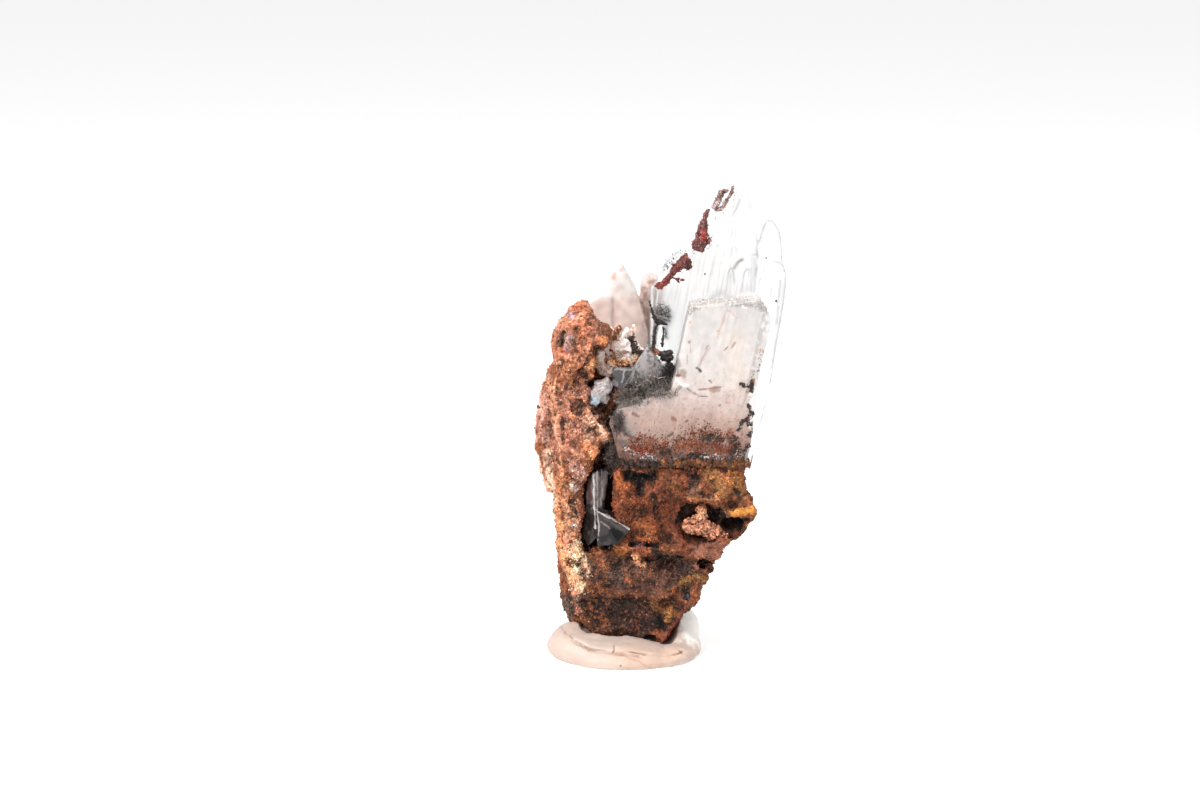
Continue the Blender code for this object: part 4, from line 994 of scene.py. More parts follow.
# name, path, radius, push, colour, strength, on the same sheet
MILKY_MARKS = [
    ("frosted rim", [(2.71, 33.84), (3.63, 34.26), (4.99, 34.49), (6.37, 34.40), (7.74, 34.44), (9.11, 34.21), (9.85, 33.66)],
     0.42, -0.04, "DAD0CA", 0.9),
    # painted light on the right facet, which the room lights less than the front
    ("painted light right side", [(10.31, 32.82), (10.07, 30.30), (9.63, 27.78), (9.38, 25.62)], 0.8, 0.0, "FFFFFF", 1.0),
    ("painted light lower right", [(9.70, 30.30), (9.17, 27.78), (9.01, 25.34), (8.76, 22.79)], 0.66, 0.0, "F6F1EF", 0.9),
    ("white patch on top", [(7.52, 33.97), (8.03, 34.02)], 0.28, 0.0, "F2EEEC", 0.8),
    ("grey left side", [(2.12, 31.53), (1.62, 29.55), (1.52, 28.30)], 0.65, 0.0, "D3CECC", 0.7),
    ("warm middle", [(6.62, 31.01), (6.64, 29.13), (7.07, 27.04)], 0.83, 0.0, "E2D2C6", 0.45),
    ("orange vein", [(5.99, 33.40), (5.59, 32.26), (5.39, 31.53), (5.14, 31.01)],
     0.08, 0.0, "D8A88E", 0.6),
    ("red arc", [(6.09, 33.56), (6.60, 33.21), (7.02, 32.78)], 0.05, 0.0, "CB8468", 0.6),
    ("orange dot", [(2.65, 32.41), (2.69, 32.40)], 0.12, 0.0, "CC9166", 0.85),
    ("brown dot", [(2.62, 30.61), (2.64, 30.55)], 0.11, 0.0, "9C6E54", 0.85),
    ("brown dot", [(5.23, 31.63), (5.27, 31.62)], 0.07, 0.0, "94705E", 0.8),
    ("brown fleck", [(5.87, 29.79), (6.17, 30.09)], 0.07, 0.0, "8A6A55", 0.85),
    ("brown fleck", [(6.56, 30.07), (6.78, 30.49)], 0.07, 0.0, "9A7866", 0.8),
    ("thin arch", [(3.52, 28.19), (3.87, 29.13), (4.28, 30.07), (4.50, 30.23)],
     0.05, 0.0, "B49085", 0.8),
    ("thin arch", [(3.98, 28.92), (4.33, 29.76), (4.58, 30.07)], 0.04, 0.0, "BE9F96", 0.7),
    ("thin lines", [(2.49, 29.34), (2.46, 28.51)], 0.06, 0.0, "A08A80", 0.7),
    ("thin lines", [(2.79, 30.80), (2.73, 29.55)], 0.04, 0.0, "B39E95", 0.6),
    ("black fleck", [(3.35, 28.12), (3.59, 28.01), (3.70, 27.83)], 0.13, -0.05, "2E2725", 1.0),
    ("dark red spot", [(1.61, 27.44), (1.77, 27.44)], 0.16, 0.0, "7A2A22", 0.95),
    ("grey smoke", [(1.52, 28.61), (1.32, 27.88)], 0.46, 0.0, "8E8684", 0.8),
    ("brown smoke", [(1.99, 27.78), (2.14, 27.36)], 0.28, 0.0, "94786E", 0.7),
    ("white edge", [(1.53, 27.04), (2.04, 26.52), (2.45, 26.62)], 0.14, 0.08, "F4F0EE", 0.95),
    ("dark under edge", [(1.84, 26.31), (1.53, 26.00)], 0.19, -0.06, "8A7F7A", 0.7),
    ("brown fleck", [(4.45, 26.99), (4.71, 26.78)], 0.08, 0.0, "85604F", 0.85),
    ("fine crack", [(2.46, 26.29), (2.97, 25.87), (3.61, 25.56), (4.36, 25.42)],
     0.06, -0.1, "7E6A62", 0.9),
    ("second crack", [(3.43, 26.07), (4.41, 26.29), (5.53, 26.33)], 0.07, -0.06, "8E7064", 0.85),
    ("brown patches", [(4.71, 26.10), (5.33, 26.05)], 0.19, 0.0, "A17F72", 0.7),
    ("black fleck", [(8.48, 26.94), (8.39, 26.15)], 0.17, 0.05, "2C2422", 1.0),
    ("red dots", [(8.00, 26.00), (8.10, 25.94)], 0.11, 0.0, "B0644C", 0.7),
    ("brown chip", [(8.60, 22.42), (8.96, 22.48)], 0.18, 0.06, "6E4434", 0.9),
    ("grey fleck", [(9.57, 27.62), (9.73, 27.55)], 0.08, 0.0, "9A8A84", 0.8),
    ("pale right foot", [(8.05, 20.53), (7.75, 19.68)], 0.37, 0.0, "B7ADAB", 0.8),
    ("dark fleck", [(5.44, 24.68), (5.48, 24.65)], 0.08, 0.0, "4A3B34", 0.8),
    ("dark fleck", [(2.37, 23.11), (2.58, 23.16)], 0.12, 0.0, "6A4438", 0.85),
    ("rust dot", [(3.87, 22.11), (4.02, 22.09)], 0.19, 0.0, "96563A", 0.85),
    ("rust cloud", [(2.38, 20.74), (3.62, 20.84)], 0.5, 0.05, "8A5238", 0.7),
    ("dark cloud", [(4.13, 21.47), (4.64, 21.58)], 0.32, 0.03, "453631", 0.85),
    ("dark cloud", [(4.03, 20.63), (5.27, 20.63)], 0.42, 0.0, "4A3028", 0.85),
    ("rust cloud", [(6.28, 22.11), (7.01, 21.05)], 0.33, 0.04, "8E5036", 0.8),
    ("dark spots", [(6.19, 21.58), (6.71, 20.74)], 0.24, 0.02, "4A3A35", 0.85),
    ("orange spot", [(6.96, 21.05), (6.99, 21.01)], 0.19, 0.05, "B25A34", 0.9),
    ("rust cloud", [(5.48, 20.10), (6.51, 20.21)], 0.4, 0.05, "8A4E32", 0.75),
    # painted shade in the gap under the foot
    ("black gap", [(5.89, 19.57), (7.03, 19.57)], 0.32, -0.1, "2A2220", 0.9),
    ("dark corner", [(-4.50, 24.11), (-3.95, 23.17), (-3.30, 22.32), (-2.57, 21.66)], 0.36, -0.04, "4A423F", 0.85),
    ("grey spray", [(-3.77, 24.02), (-3.12, 23.17), (-2.38, 22.23)], 0.5, 0.0, "9A908C", 0.55),
    ("grey spray low", [(-4.04, 21.38), (-3.12, 20.81)], 0.37, 0.0, "5C4F48", 0.8),
    ("white corner", [(-3.12, 24.96), (-1.84, 24.77)], 0.37, 0.05, "D9D0CD", 0.7),
    ("dark specks", [(-2.48, 23.83), (-1.92, 23.64)], 0.15, 0.0, "6B5850", 0.8),
    ("dark speck", [(1.11, 23.45), (1.48, 23.17)], 0.15, 0.0, "7A5548", 0.8),
    ("dark streak", [(0.75, 21.76), (1.21, 22.04)], 0.13, 0.0, "4A3A34", 0.9),
    ("red spot", [(-1.73, 20.24), (-1.09, 20.15)], 0.30, 0.1, "93391D", 0.95),
    ("orange spot", [(-2.75, 20.43), (-2.38, 20.24)], 0.28, 0.05, "8A4A2A", 0.85),
    ("black spot", [(0.21, 20.34), (0.85, 20.24)], 0.30, -0.05, "231B19", 0.95),
    ("rust bloom", [(1.50, 20.62), (2.79, 20.81)], 0.42, 0.05, "7C4630", 0.85),
    ("dark line", [(-0.44, 21.38), (-0.35, 20.72)], 0.09, 0.0, "3C2E2A", 0.9),
    ("rust haze", [(-2.38, 21.19), (-0.90, 21.38)], 0.46, 0.0, "8E6050", 0.6),
]
push_marks(milky, MILKY_MARKS)
milky_points = points_of(milky)
heights = [height for height, code in MILKY_GROUND]
grounds = np.array([linear(code) for height, code in MILKY_GROUND])
wavy = milky_points[:, 2] + noise_at(milky_points, 1.6, 2.2) * 0.9
wavy += noise_at(milky_points, 0.4, 5.0) * 0.35
milky_colours = np.stack([np.interp(wavy, heights, grounds[:, c]) for c in range(3)], axis=1)
milky_colours = lay_marks(milky_points, milky_colours, MILKY_MARKS)
milky_colours = speckle(milky_points, milky_colours, 0.5, 0.1, 3.3)
rust = np.clip((29.0 - milky_points[:, 2]) / 9.0, 0.0, 1.0) ** 0.8
for size, level, code in ((0.17, 0.42, "5A3028"), (0.3, 0.4, "A8684C"), (0.22, 0.45, "C08A70")):
    milky_colours = pepper(milky_points, milky_colours, size, level, code, 0.8, rust)
store_colours(milky, milky_colours)


def milky_finish(name, roughness, scatter, see_through, depth, shine=0.5):
    material, tree, output = new_finish(name)
    place = add(tree, "ShaderNodeTexCoord").outputs["Object"]
    zone = add(tree, "ShaderNodeAttribute", attribute_name="zone").outputs["Color"]
    along = add(tree, "ShaderNodeMapping", {
        "Vector": place, "Rotation": (0.0, -LEAN, 0.0), "Scale": (1.0, 1.0, 0.08)})
    lines = add(tree, "ShaderNodeTexNoise", {
        "Vector": along.outputs[0], "Scale": per_mm(0.35), "Detail": 4.0})
    cloud = add(tree, "ShaderNodeTexNoise", {
        "Vector": place, "Scale": per_mm(1.3), "Detail": 5.0, "Roughness": 0.6})
    tone = add(tree, "ShaderNodeMapRange", {
        "Value": cloud.outputs["Fac"], "From Min": 0.3, "From Max": 0.7,
        "To Min": 0.9, "To Max": 1.05})
    toned = add(tree, "ShaderNodeVectorMath", {0: zone, 1: tone.outputs["Result"]},
                operation="MULTIPLY")
    bump = add(tree, "ShaderNodeBump", {
        "Strength": 0.4, "Distance": 0.05 * MM, "Height": lines.outputs["Fac"]})
    shader = add(tree, "ShaderNodeBsdfPrincipled", {
        "Base Color": toned.outputs[0], "Roughness": roughness, "IOR": 1.636,
        "Specular IOR Level": shine, "Transmission Weight": see_through,
        "Subsurface Weight": scatter,
        "Subsurface Radius": (depth * MM, depth * 0.8 * MM, depth * 0.7 * MM),
        "Subsurface Scale": 1.0, "Normal": bump.outputs["Normal"]})
    tree.links.new(shader.outputs[0], output.inputs["Surface"])
    return material


MILKY = milky_finish("milky barite, worn faces", 0.3, 0.5, 0.15, 1.0)
milky.data.materials.append(MILKY)
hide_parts("milky_crystal")
settle(milky)

# %% [markdown]
# Rust from the matrix has crept up the foot, and its grains cling there, thickest at the
# contact. They are the same crumbs again, strewn where the foot is low and faces forward, and
# along the top edge of the rock under it.

# %% Grains at the contact
def crust_finish(name, roughness, metallic):
    material, tree, output = new_finish(name)
    place = add(tree, "ShaderNodeTexCoord").outputs["Object"]
    zone = add(tree, "ShaderNodeAttribute", attribute_name="zone").outputs["Color"]
    grain = add(tree, "ShaderNodeTexNoise", {
        "Vector": place, "Scale": per_mm(0.15), "Detail": 4.0, "Roughness": 0.7})
    shade = add(tree, "ShaderNodeMapRange", {
        "Value": grain.outputs["Fac"], "From Min": 0.3, "From Max": 0.7,
        "To Min": 0.5, "To Max": 1.7})
    toned = add(tree, "ShaderNodeVectorMath", {0: zone, 1: shade.outputs["Result"]},
                operation="MULTIPLY")
    bump = add(tree, "ShaderNodeBump", {
        "Strength": 0.6, "Distance": 0.06 * MM, "Height": grain.outputs["Fac"]})
    shader = add(tree, "ShaderNodeBsdfPrincipled", {
        "Base Color": toned.outputs[0], "Roughness": roughness, "Metallic": metallic,
        "Normal": bump.outputs["Normal"]})
    tree.links.new(shader.outputs[0], output.inputs["Surface"])
    return material


GOETHITE = crust_finish("goethite crust, silky black", 0.42, 0.1)
RUST_GRAINS = ["7A4028", "4A2C22", "9A5A3C", "2A1F1C", "6B3A2A", "8A4A30"]
BLACK_FLAKES = ["241C1A", "3A2C28", "1A1412", "5A4A44"]


def low_front(points, normals):
    """Favour clumps on the low front of the foot."""
    height = np.clip((21.6 - points[:, 2]) / 2.4, 0.0, 1.0) ** 2
    clumps = np.clip(noise_at(points, 1.1, 3.0) * 2.0 + 0.35, 0.02, 1.0)
    return height * clumps * np.clip(-normals[:, 1] + 0.2, 0.0, 1.0)


grains_on(milky, "rust_grains_on_foot", low_front, 500, 0.025, 0.07, RUST_GRAINS, GOSSAN,
          17)
grains_on(milky, "rust_clouds", along([
    [(1.59, 20.72), (3.62, 20.81)], [(6.10, 21.76), (7.13, 20.24)],
    [(5.47, 20.24), (6.57, 20.43)], [(-2.75, 20.72), (0.39, 20.34), (2.79, 20.81)]], 0.5),
    900, 0.025, 0.075, RUST_GRAINS, GOSSAN, 61)
grains_on(milky, "rust_haze", along([
    [(-0.44, 21.38), (1.86, 21.76), (3.70, 22.32), (6.47, 21.76)],
    [(3.70, 22.32), (0.02, 21.38), (-1.83, 20.91)]], 0.9),
    260, 0.015, 0.04, RUST_GRAINS, GOSSAN, 62)
grains_on(milky, "black_flakes", along([
    [(8.10, 24.68), (8.29, 24.02), (8.85, 23.45), (9.04, 22.89)],
    [(8.93, 24.11), (8.38, 23.93), (8.02, 23.27), (7.56, 23.17)],
    [(8.12, 22.89), (8.85, 23.08)], [(7.56, 23.17), (7.20, 22.32)], [(8.04, 21.76), (8.49, 22.13)],
    [(8.13, 21.00), (7.68, 20.15)], [(7.44, 26.60), (8.18, 26.37)], [(8.45, 26.93), (8.36, 26.09)]], 0.13),
    420, 0.03, 0.12, BLACK_FLAKES, GOETHITE, 63)
grains_on(milky, "orange_dots", along([[(9.16, 29.55), (9.54, 27.78), (9.92, 26.56), (8.81, 27.21), (9.35, 28.71)]], 0.35),
    50, 0.03, 0.08, ["A86A40", "7A4A34", "C08A68"], GOSSAN, 64)
grains_on(milky, "frosty_rim", along([[(2.71, 33.84), (3.63, 34.26), (4.99, 34.49), (6.37, 34.40), (7.74, 34.44), (9.11, 34.21), (9.85, 33.66)]], 0.33),
    900, 0.03, 0.10, ["E2DAD5", "D2C7C0", "F2ECE8", "C9BDB5"], MILKY, 65,
          0.1)
grains_on(milky, "red_crust_spots", along([
    [(-2.47, 20.62), (-1.82, 20.43), (-1.27, 20.53)], [(-1.18, 20.62), (-0.81, 20.43)],
    [(5.37, 20.72), (6.11, 20.53), (6.85, 20.43)]], 0.33),
    330, 0.03, 0.09, ["86392A", "74301F", "9C4C32", "5A261C", "4A2C24"], GOSSAN, 66)
grains_on(milky, "dark_crust_spots", along([
    [(0.21, 20.34), (0.76, 20.24)], [(3.98, 21.57), (4.81, 21.66), (5.37, 21.38)],
    [(6.75, 21.57), (7.03, 21.00), (6.67, 20.24)], [(2.61, 19.86), (3.72, 19.77), (4.09, 19.58)]], 0.28),
    480, 0.04, 0.11, ["2A2826", "3A2C28", "1E1A18", "4E3A32"], GOSSAN, 67)
grains_on(milky, "brown_crust_spots", along([
    [(1.68, 21.19), (2.79, 21.00), (3.71, 20.72), (5.00, 20.81)], [(-0.44, 20.81), (0.20, 21.09)],
    [(-2.01, 21.38), (-0.72, 21.19)], [(2.96, 21.94), (4.25, 22.32), (5.18, 21.76)]], 0.5),
    1000, 0.03, 0.09, ["7A4028", "84482F", "5E3424", "4A2C22", "945A3C"], GOSSAN, 68)
grains_on(milky, "white_crumbs", along([
    [(-2.01, 19.77), (-1.27, 19.86), (-0.53, 19.67)], [(4.18, 19.86), (5.38, 19.86)],
    [(7.03, 20.24), (7.41, 19.77), (7.59, 19.49)], [(-3.30, 20.81), (-2.75, 20.43), (-2.19, 19.96)]], 0.22),
    130, 0.04, 0.10, ["CFC4BF", "B8A8A1", "DDD3CE"], MILKY, 69)

chance = np.random.default_rng(18)
count = 520
palette = np.array([linear(code) for code in RUST_GRAINS])
across = chance.uniform(-3.6, 7.9, count)
spots = np.stack([across, chance.uniform(-7.1, -6.2, count),
                  19.2 + 0.35 * np.sin(across * 1.7) + chance.normal(0.0, 0.3, count)], axis=1)
sizes = chance.uniform(0.05, 0.19, (count, 1)) * chance.uniform(0.6, 1.3, (count, 3))
seam = joined_copies("rust_grains_in_seam", CRUMB, spots, random_turns(count, chance), sizes,
                     vary(palette[chance.integers(0, 6, count)], chance, 0.25, 0.9), GOSSAN)
settle(seam)

count = 330
across = chance.uniform(-3.8, 8.2, count)
climb = 0.35 * noise_at(np.stack([across, across * 0.0, across * 0.0], axis=1), 1.6, 7.0)
spots = np.stack([across, chance.uniform(-7.15, -6.7, count),
                  19.35 + climb + chance.normal(0.0, 0.16, count)], axis=1)
sizes = chance.uniform(0.10, 0.26, (count, 1)) * chance.uniform(0.6, 1.3, (count, 3))
palette = np.array([linear(code) for code in ["2A211E", "3A2C26", "1E1815", "4A3226",
                                              "7A4A2C", "8A5630", "5E3A26", "6E4228"]])
kinds = chance.integers(0, 4, count) + np.where(across + chance.normal(0, 1.5, count) > 1.0, 4, 0)
ledge = joined_copies("ledge_lumps", CRUMB, spots, random_turns(count, chance), sizes,
                      vary(palette[kinds], chance, 0.5, 1.1), GOSSAN)
settle(ledge)

# %% [markdown]
# The smaller crystals are single tables or wedges. Their faces stay flat, so they keep the
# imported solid's planes and only gain worn edges.

# %% Small crystals
def drawn_lump(name, strokes, depth, grain):
    """Draw strokes of changing thickness at one depth, and fuse them to one lump, in mm."""
    curve = bpy.data.curves.new(name, "CURVE")
    curve.dimensions = "3D"
    curve.bevel_depth = MM
    curve.bevel_resolution = 2
    curve.use_fill_caps = True
    for stroke in strokes:
        spline = curve.splines.new("POLY")
        spline.points.add(len(stroke) - 1)
        for point, (x, z, radius) in zip(spline.points, stroke):
            point.co = (x * MM, depth * MM, z * MM, 1.0)
            point.radius = radius
    piece = bpy.data.objects.new(name, curve)
    bpy.context.scene.collection.objects.link(piece)
    pick(piece)
    bpy.ops.object.convert(target="MESH")
    shape_with(piece, "REMESH", mode="VOXEL", voxel_size=grain * MM)
    return piece


def worn_crystal(node, name, grain, wear, slot):
    """Copy a crystal, give it a fine skin with softened edges, and let it replace its solid."""
    piece = copy_of(node, name)
    shape_with(piece, "REMESH", mode="VOXEL", voxel_size=grain * MM)
    relief(piece, "CLOUDS", 0.9, wear, noise_depth=2)
    smooth_under(piece, 35.0)
    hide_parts(node)
    return piece


rear = worn_crystal("rear_crystals", "rosy_barite_crystals", 0.1, 0.14, "rosy_barite")
shape_with(rear, "SMOOTH", factor=0.5, iterations=40)
rear_points = points_of(rear)
rear_colours = blend_patches(rear_points, "F7E2D9", [
    ((-3.2, 5.0, 35.4), (2.0, 3.0, 2.8), "FBF3EF", 1.0),
    ((-4.8, 5.0, 33.6), (1.7, 3.0, 1.2), "F6ECE8", 0.9),
    ((-0.9, 6.4, 34.8), (1.2, 2.0, 0.9), "F1E4DF", 0.85),
    ((-4.48, 4.0, 35.07), (0.5, 1.6, 0.4), "DDA084", 0.75),
    ((-3.53, 5.0, 35.57), (0.35, 1.6, 0.25), "DCAA98", 0.7),
    ((-0.76, 6.4, 34.17), (0.7, 1.6, 0.25), "D8A99C", 0.7),
    ((-3.6, 5.0, 25.0), (5.0, 4.0, 3.4), "B8907F", 0.8),
    ((-0.9, 6.4, 29.5), (1.2, 2.0, 4.4), "A78378", 0.9),
], ragged=0.4)
store_colours(rear, speckle(rear_points, rear_colours, 0.7, 0.25, 5.0))
rear.data.materials.append(milky_finish("cloudy rosy barite", 0.3, 0.55, 0.35, 1.2))
settle(rear)

# name, path, radius, push, colour, strength, on the drawing sheet
CREAM_MARKS = [
    ("rusty pillar", [(-4.14, 30.96), (-3.96, 31.61), (-3.78, 32.07)], 0.3, 0.0, "B4714A", 0.9),
    ("tan left", [(-4.97, 30.02), (-4.41, 29.65), (-4.42, 30.77)], 0.35, 0.0, "B98A74", 0.8),
    ("white middle", [(-3.50, 30.30), (-2.95, 29.65), (-3.13, 31.14)], 0.5, 0.0, "EADDD6", 0.9),
    ("orange spike", [(-2.49, 31.98), (-2.49, 31.23), (-2.22, 30.68)], 0.12, 0.0, "B8683C", 0.9),
    ("black patch", [(-2.58, 30.96), (-2.40, 30.30), (-2.31, 29.83), (-1.85, 29.65)], 0.25, -0.1, "1E1614", 1.0),
    ("tan band", [(-4.78, 28.90), (-3.68, 28.71), (-2.58, 28.81), (-2.03, 29.27)], 0.36, 0.0, "C08A5E", 0.85),
    ("orange edge", [(-2.12, 28.71), (-1.75, 29.27), (-1.66, 29.65)], 0.16, 0.0, "C47A3C", 0.9),
    ("white low", [(-3.50, 29.18), (-2.58, 29.09)], 0.2, 0.0, "EEE2DA", 0.8),
    ("pale left foot", [(-5.52, 28.71), (-5.15, 27.96), (-4.41, 27.87)], 0.4, 0.0, "C4A294", 0.8),
]
cream = drawn_lump("cream_barite_crystal", [
    [(-4.41, 29.84, 0.46), (-3.76, 29.93, 0.56), (-3.02, 30.02, 0.56), (-2.47, 29.74, 0.46), (-2.10, 29.27, 0.32)], 
    [(-4.78, 28.52, 0.46), (-3.85, 28.43, 0.56), (-2.93, 28.43, 0.56), (-2.01, 28.52, 0.37)], 
    [(-3.58, 30.40, 0.37), (-3.12, 31.06, 0.24), (-2.98, 31.53, 0.09)], 
    [(-2.75, 30.40, 0.28), (-2.47, 31.15, 0.16), (-2.43, 31.76, 0.07)], 
    [(-4.04, 30.49, 0.32), (-3.95, 31.24, 0.26), (-3.76, 31.85, 0.15)], 
    [(-4.50, 30.31, 0.28), (-4.59, 31.06, 0.17), (-4.50, 31.53, 0.09)], 
    [(-2.10, 29.93, 0.22), (-1.82, 29.46, 0.19), (-1.73, 28.71, 0.19)], 
    [(-5.33, 29.37, 0.28), (-5.61, 28.33, 0.42), (-5.15, 27.58, 0.46), (-4.41, 27.48, 0.46)]], -4.1, 0.06)
relief(cream, "VORONOI", 0.6, 0.45, level=0.4)
relief(cream, "CLOUDS", 0.3, 0.25)
smooth_under(cream, 30.0)
cream_points = points_of(cream)
cream_colours = lay_marks(cream_points, blend_patches(cream_points, "EEDACF", []), CREAM_MARKS)
cream_colours = speckle(cream_points, cream_colours, 0.35, 0.3, 6.0)
# painted shade in the pits and painted light on what stands out
store_colours(cream, cavity_shade_and_light(cream, cream_colours, 0.12, 0.45, 1.2, rounds=8))
cream.data.materials.clear()
cream.data.materials.append(milky_finish("cream barite, frosted", 0.45, 0.35, 0.1, 0.6))
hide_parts("cream_crystal")
settle(cream)
grains_on(cream, "cream_fringe", along([
    [(-4.14, 30.96), (-3.96, 31.61), (-3.78, 32.07)], [(-4.60, 29.65), (-4.05, 28.71), (-3.13, 28.53)],
    [(-2.12, 28.71), (-1.75, 29.27)]], 0.25), 420, 0.03, 0.11, ["A8683A", "7E4A2E", "C98A58", "4A2A1E"],
    GOSSAN, 72)
grains_on(cream, "cream_black_patch", along([[(-2.58, 30.96), (-2.40, 30.30), (-2.31, 29.83), (-1.85, 29.65)]], 0.22),
          300, 0.03, 0.11, ["1E1614", "3A2C26"], GOSSAN, 73)
grains_on(cream, "cream_sugar", None, 300, 0.03, 0.09, ["E0D0C6", "CDB4A8", "E8DED8", "B08C7C"],
          MILKY, 74)

grey = worn_crystal("grey_crystal", "grey_barite_crystal", 0.07, 0.06, "grey_barite")
grey_points = points_of(grey)
grey_colours = blend_patches(grey_points, "A69E9E", [
    ((-3.4, -4.8, 27.0), (1.2, 1.2, 1.2), "4E4847", 0.9),
    ((-1.0, -4.4, 29.4), (0.8, 1.6, 0.8), "D5CFCE", 0.8),
    ((-1.0, -4.4, 26.0), (2.0, 1.6, 0.6), "6B5D59", 0.7),
], ragged=0.3, size=0.8)
grey_colours = pepper(grey_points, grey_colours, 0.3, 0.15, "5A504D", 0.6)
grey_colours = pepper(grey_points, grey_colours, 0.2, 0.35, "2E2624", 0.7)
grey_colours = pepper(grey_points, grey_colours, 0.5, 0.3, "D2CCCB", 0.5)
grey_colours = lay_marks(grey_points, grey_colours, [
    ("dark left face", [(-3.95, 27.68), (-3.13, 27.21)], 0.5, 0.0, "4A4547", 0.8),
    ("dark foot", [(-2.57, 26.28), (-1.29, 26.28), (-0.00, 26.46)], 0.45, 0.0, "3E3431", 0.8),
    # painted light on this face; the bright edge and the glints are painted highlights
    ("painted lit face", [(-1.57, 28.71), (-1.29, 27.96), (-0.92, 27.31)], 0.4, 0.0, "C0B7B5", 0.7),
    ("bright edge", [(-1.48, 29.83), (-2.03, 28.71), (-2.76, 26.75)], 0.08, 0.0, "D6D0CE", 0.8),
    ("glint", [(-3.22, 27.96), (-3.49, 26.84)], 0.07, 0.0, "D2CCCA", 0.8),
    ("glint", [(-2.39, 27.96), (-3.13, 26.56)], 0.06, 0.0, "BEB6B4", 0.8),
    ("glint", [(-4.05, 27.96), (-2.58, 28.06)], 0.07, 0.0, "C4BDBB", 0.8),
    ("orange tint", [(-0.83, 27.68), (-0.37, 27.03)], 0.25, 0.0, "9E7262", 0.6)])
store_colours(grey, grey_colours)
grey.data.materials.append(milky_finish("grey barite, glassy", 0.14, 0.25, 0.45, 0.8))
settle(grey)

# name, path, radius, push, colour, strength, on the drawing sheet
SMOKY_MARKS = [
    # painted highlights: the white and grey streaks and the ridge highlights stand for reflections on the glassy faces
    ("white streak", [(-6.16, 19.20), (-6.12, 17.59), (-6.07, 15.69), (-5.93, 13.01)],
     0.08, 0.03, "D6D0CE", 0.9),
    ("white streak", [(-5.84, 18.54), (-5.75, 16.16), (-5.79, 14.26)], 0.06, 0.02, "B4ACAA", 0.8),
    ("grey streak", [(-5.42, 19.30), (-5.28, 16.83), (-5.42, 15.21)], 0.07, 0.02, "968C8A", 0.8),
    ("ridge highlight", [(-5.79, 14.64), (-4.96, 14.26), (-3.85, 13.68), (-2.83, 13.01)], 0.09, 0.03, "B8B0AE", 0.9),
    ("ridge highlight", [(-5.52, 13.68), (-4.77, 13.21), (-4.03, 12.25)], 0.05, 0.02, "8E8684", 0.8),
    ("ridge highlight", [(-5.79, 14.54), (-5.61, 13.40), (-5.70, 11.87)], 0.08, 0.02, "A8A09E", 0.8),
    ("grey face", [(-4.96, 13.97), (-4.22, 13.49), (-3.29, 12.92)], 0.2, 0.0, "4E4846", 0.8),
    ("black glass", [(-5.24, 12.06), (-4.40, 12.54), (-3.47, 12.25), (-4.03, 11.77)], 0.45, 0.0, "0A0909", 1.0),
    ("grey glass", [(-4.96, 18.54), (-4.87, 16.45)], 0.37, 0.0, "5E5654", 0.8),
    ("brown tint", [(-6.44, 17.97), (-6.44, 15.69)], 0.19, 0.0, "54332C", 0.7),
]
smoky = worn_crystal("smoky_crystal", "smoky_barite_crystal", 0.07, 0.3, "smoky_barite")
# eight corners of the wedge: left then right, front then back, low then high
WEDGE_CORNERS = [(-5.79, -7.30, 11.63),
                 (-5.79, -7.30, 15.05),
                 (-5.79, -5.60, 11.27),
                 (-5.79, -5.60, 14.69),
                 (-3.85, -7.90, 11.97),
                 (-2.66, -7.90, 13.40),
                 (-3.85, -6.20, 11.61),
                 (-2.66, -6.20, 13.04)]
bpy.ops.mesh.primitive_cube_add(size=1.0)
wedge = bpy.context.object
for vertex, corner in zip(wedge.data.vertices, WEDGE_CORNERS):
    vertex.co = Vector(corner) * MM
smoky.select_set(True)
bpy.context.view_layer.objects.active = smoky
bpy.ops.object.join()
shape_with(smoky, "REMESH", mode="VOXEL", voxel_size=0.07 * MM)
smooth_under(smoky, 35.0)
guide = lean_guide("smoky growth", 6.0)
relief(smoky, "CLOUDS", 0.6, 0.2, guide=guide, noise_depth=0)
bpy.data.objects.remove(guide)
smoky_points = points_of(smoky)
smoky_colours = blend_patches(smoky_points, "342E2D", [
    ((-6.4, -5.8, 16.6), (1.4, 1.6, 1.8), "7A706E", 0.8)], ragged=0.4, size=0.7)
smoky_colours = lay_marks(smoky_points, smoky_colours, SMOKY_MARKS)
store_colours(smoky, smoky_colours)
smoky.data.materials.append(milky_finish("smoky barite, glassy", 0.14, 0.0, 0.1, 0.5, shine=0.2))
settle(smoky)

# %% [markdown]
# Dark crusts sit on the blade's stepped edge. Hematite is a dark red-brown with a dull metal
# gleam, and goethite is nearly black. Both are knobbly, so each is drawn as a lump in place of
# its imported solid and gets a rough skin and small flakes.

# %% Crusts
HEMATITE = crust_finish("hematite crust, dull metal", 0.38, 0.25)


def crust(node, strokes, ground, patches, material, seed, depth=-2.62, fine=1.0):
    """Draw one crust, roughen and colour it, and strew crumbs of its own colour over it."""
    piece = drawn_lump(f"{node}_crust", strokes, depth, 0.06)
    relief(piece, "CLOUDS", 0.5, 0.3 * fine)
    relief(piece, "VORONOI", 0.3, 0.2 * fine, level=0.4)
    relief(piece, "CLOUDS", 0.15, 0.1)
    smooth_under(piece, 50.0)
    points = points_of(piece)
    colours = speckle(points, blend_patches(points, ground, patches, size=0.5), 0.3, 0.5, seed)
    # painted shade in the pits and painted light on what stands out
    colours = cavity_shade_and_light(piece, colours, 0.08, 0.3, 1.5, rounds=8)
    store_colours(piece, colours)
    piece.data.materials.clear()
    piece.data.materials.append(material)
    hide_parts(node)
    settle(piece)
    chance = np.random.default_rng(seed)
    number = 220
    spots, outward, nearest = surface_spots(piece, number, chance)
    sizes = chance.uniform(0.03, 0.12, (number, 1)) * chance.uniform(0.4, 1.4, (number, 3))
    extra = joined_copies(f"{node}_crumbs", CRUMB, spots, random_turns(number, chance), sizes,
                          vary(colours[nearest], chance, 0.6, 2.2), material)
    settle(extra)
    return piece


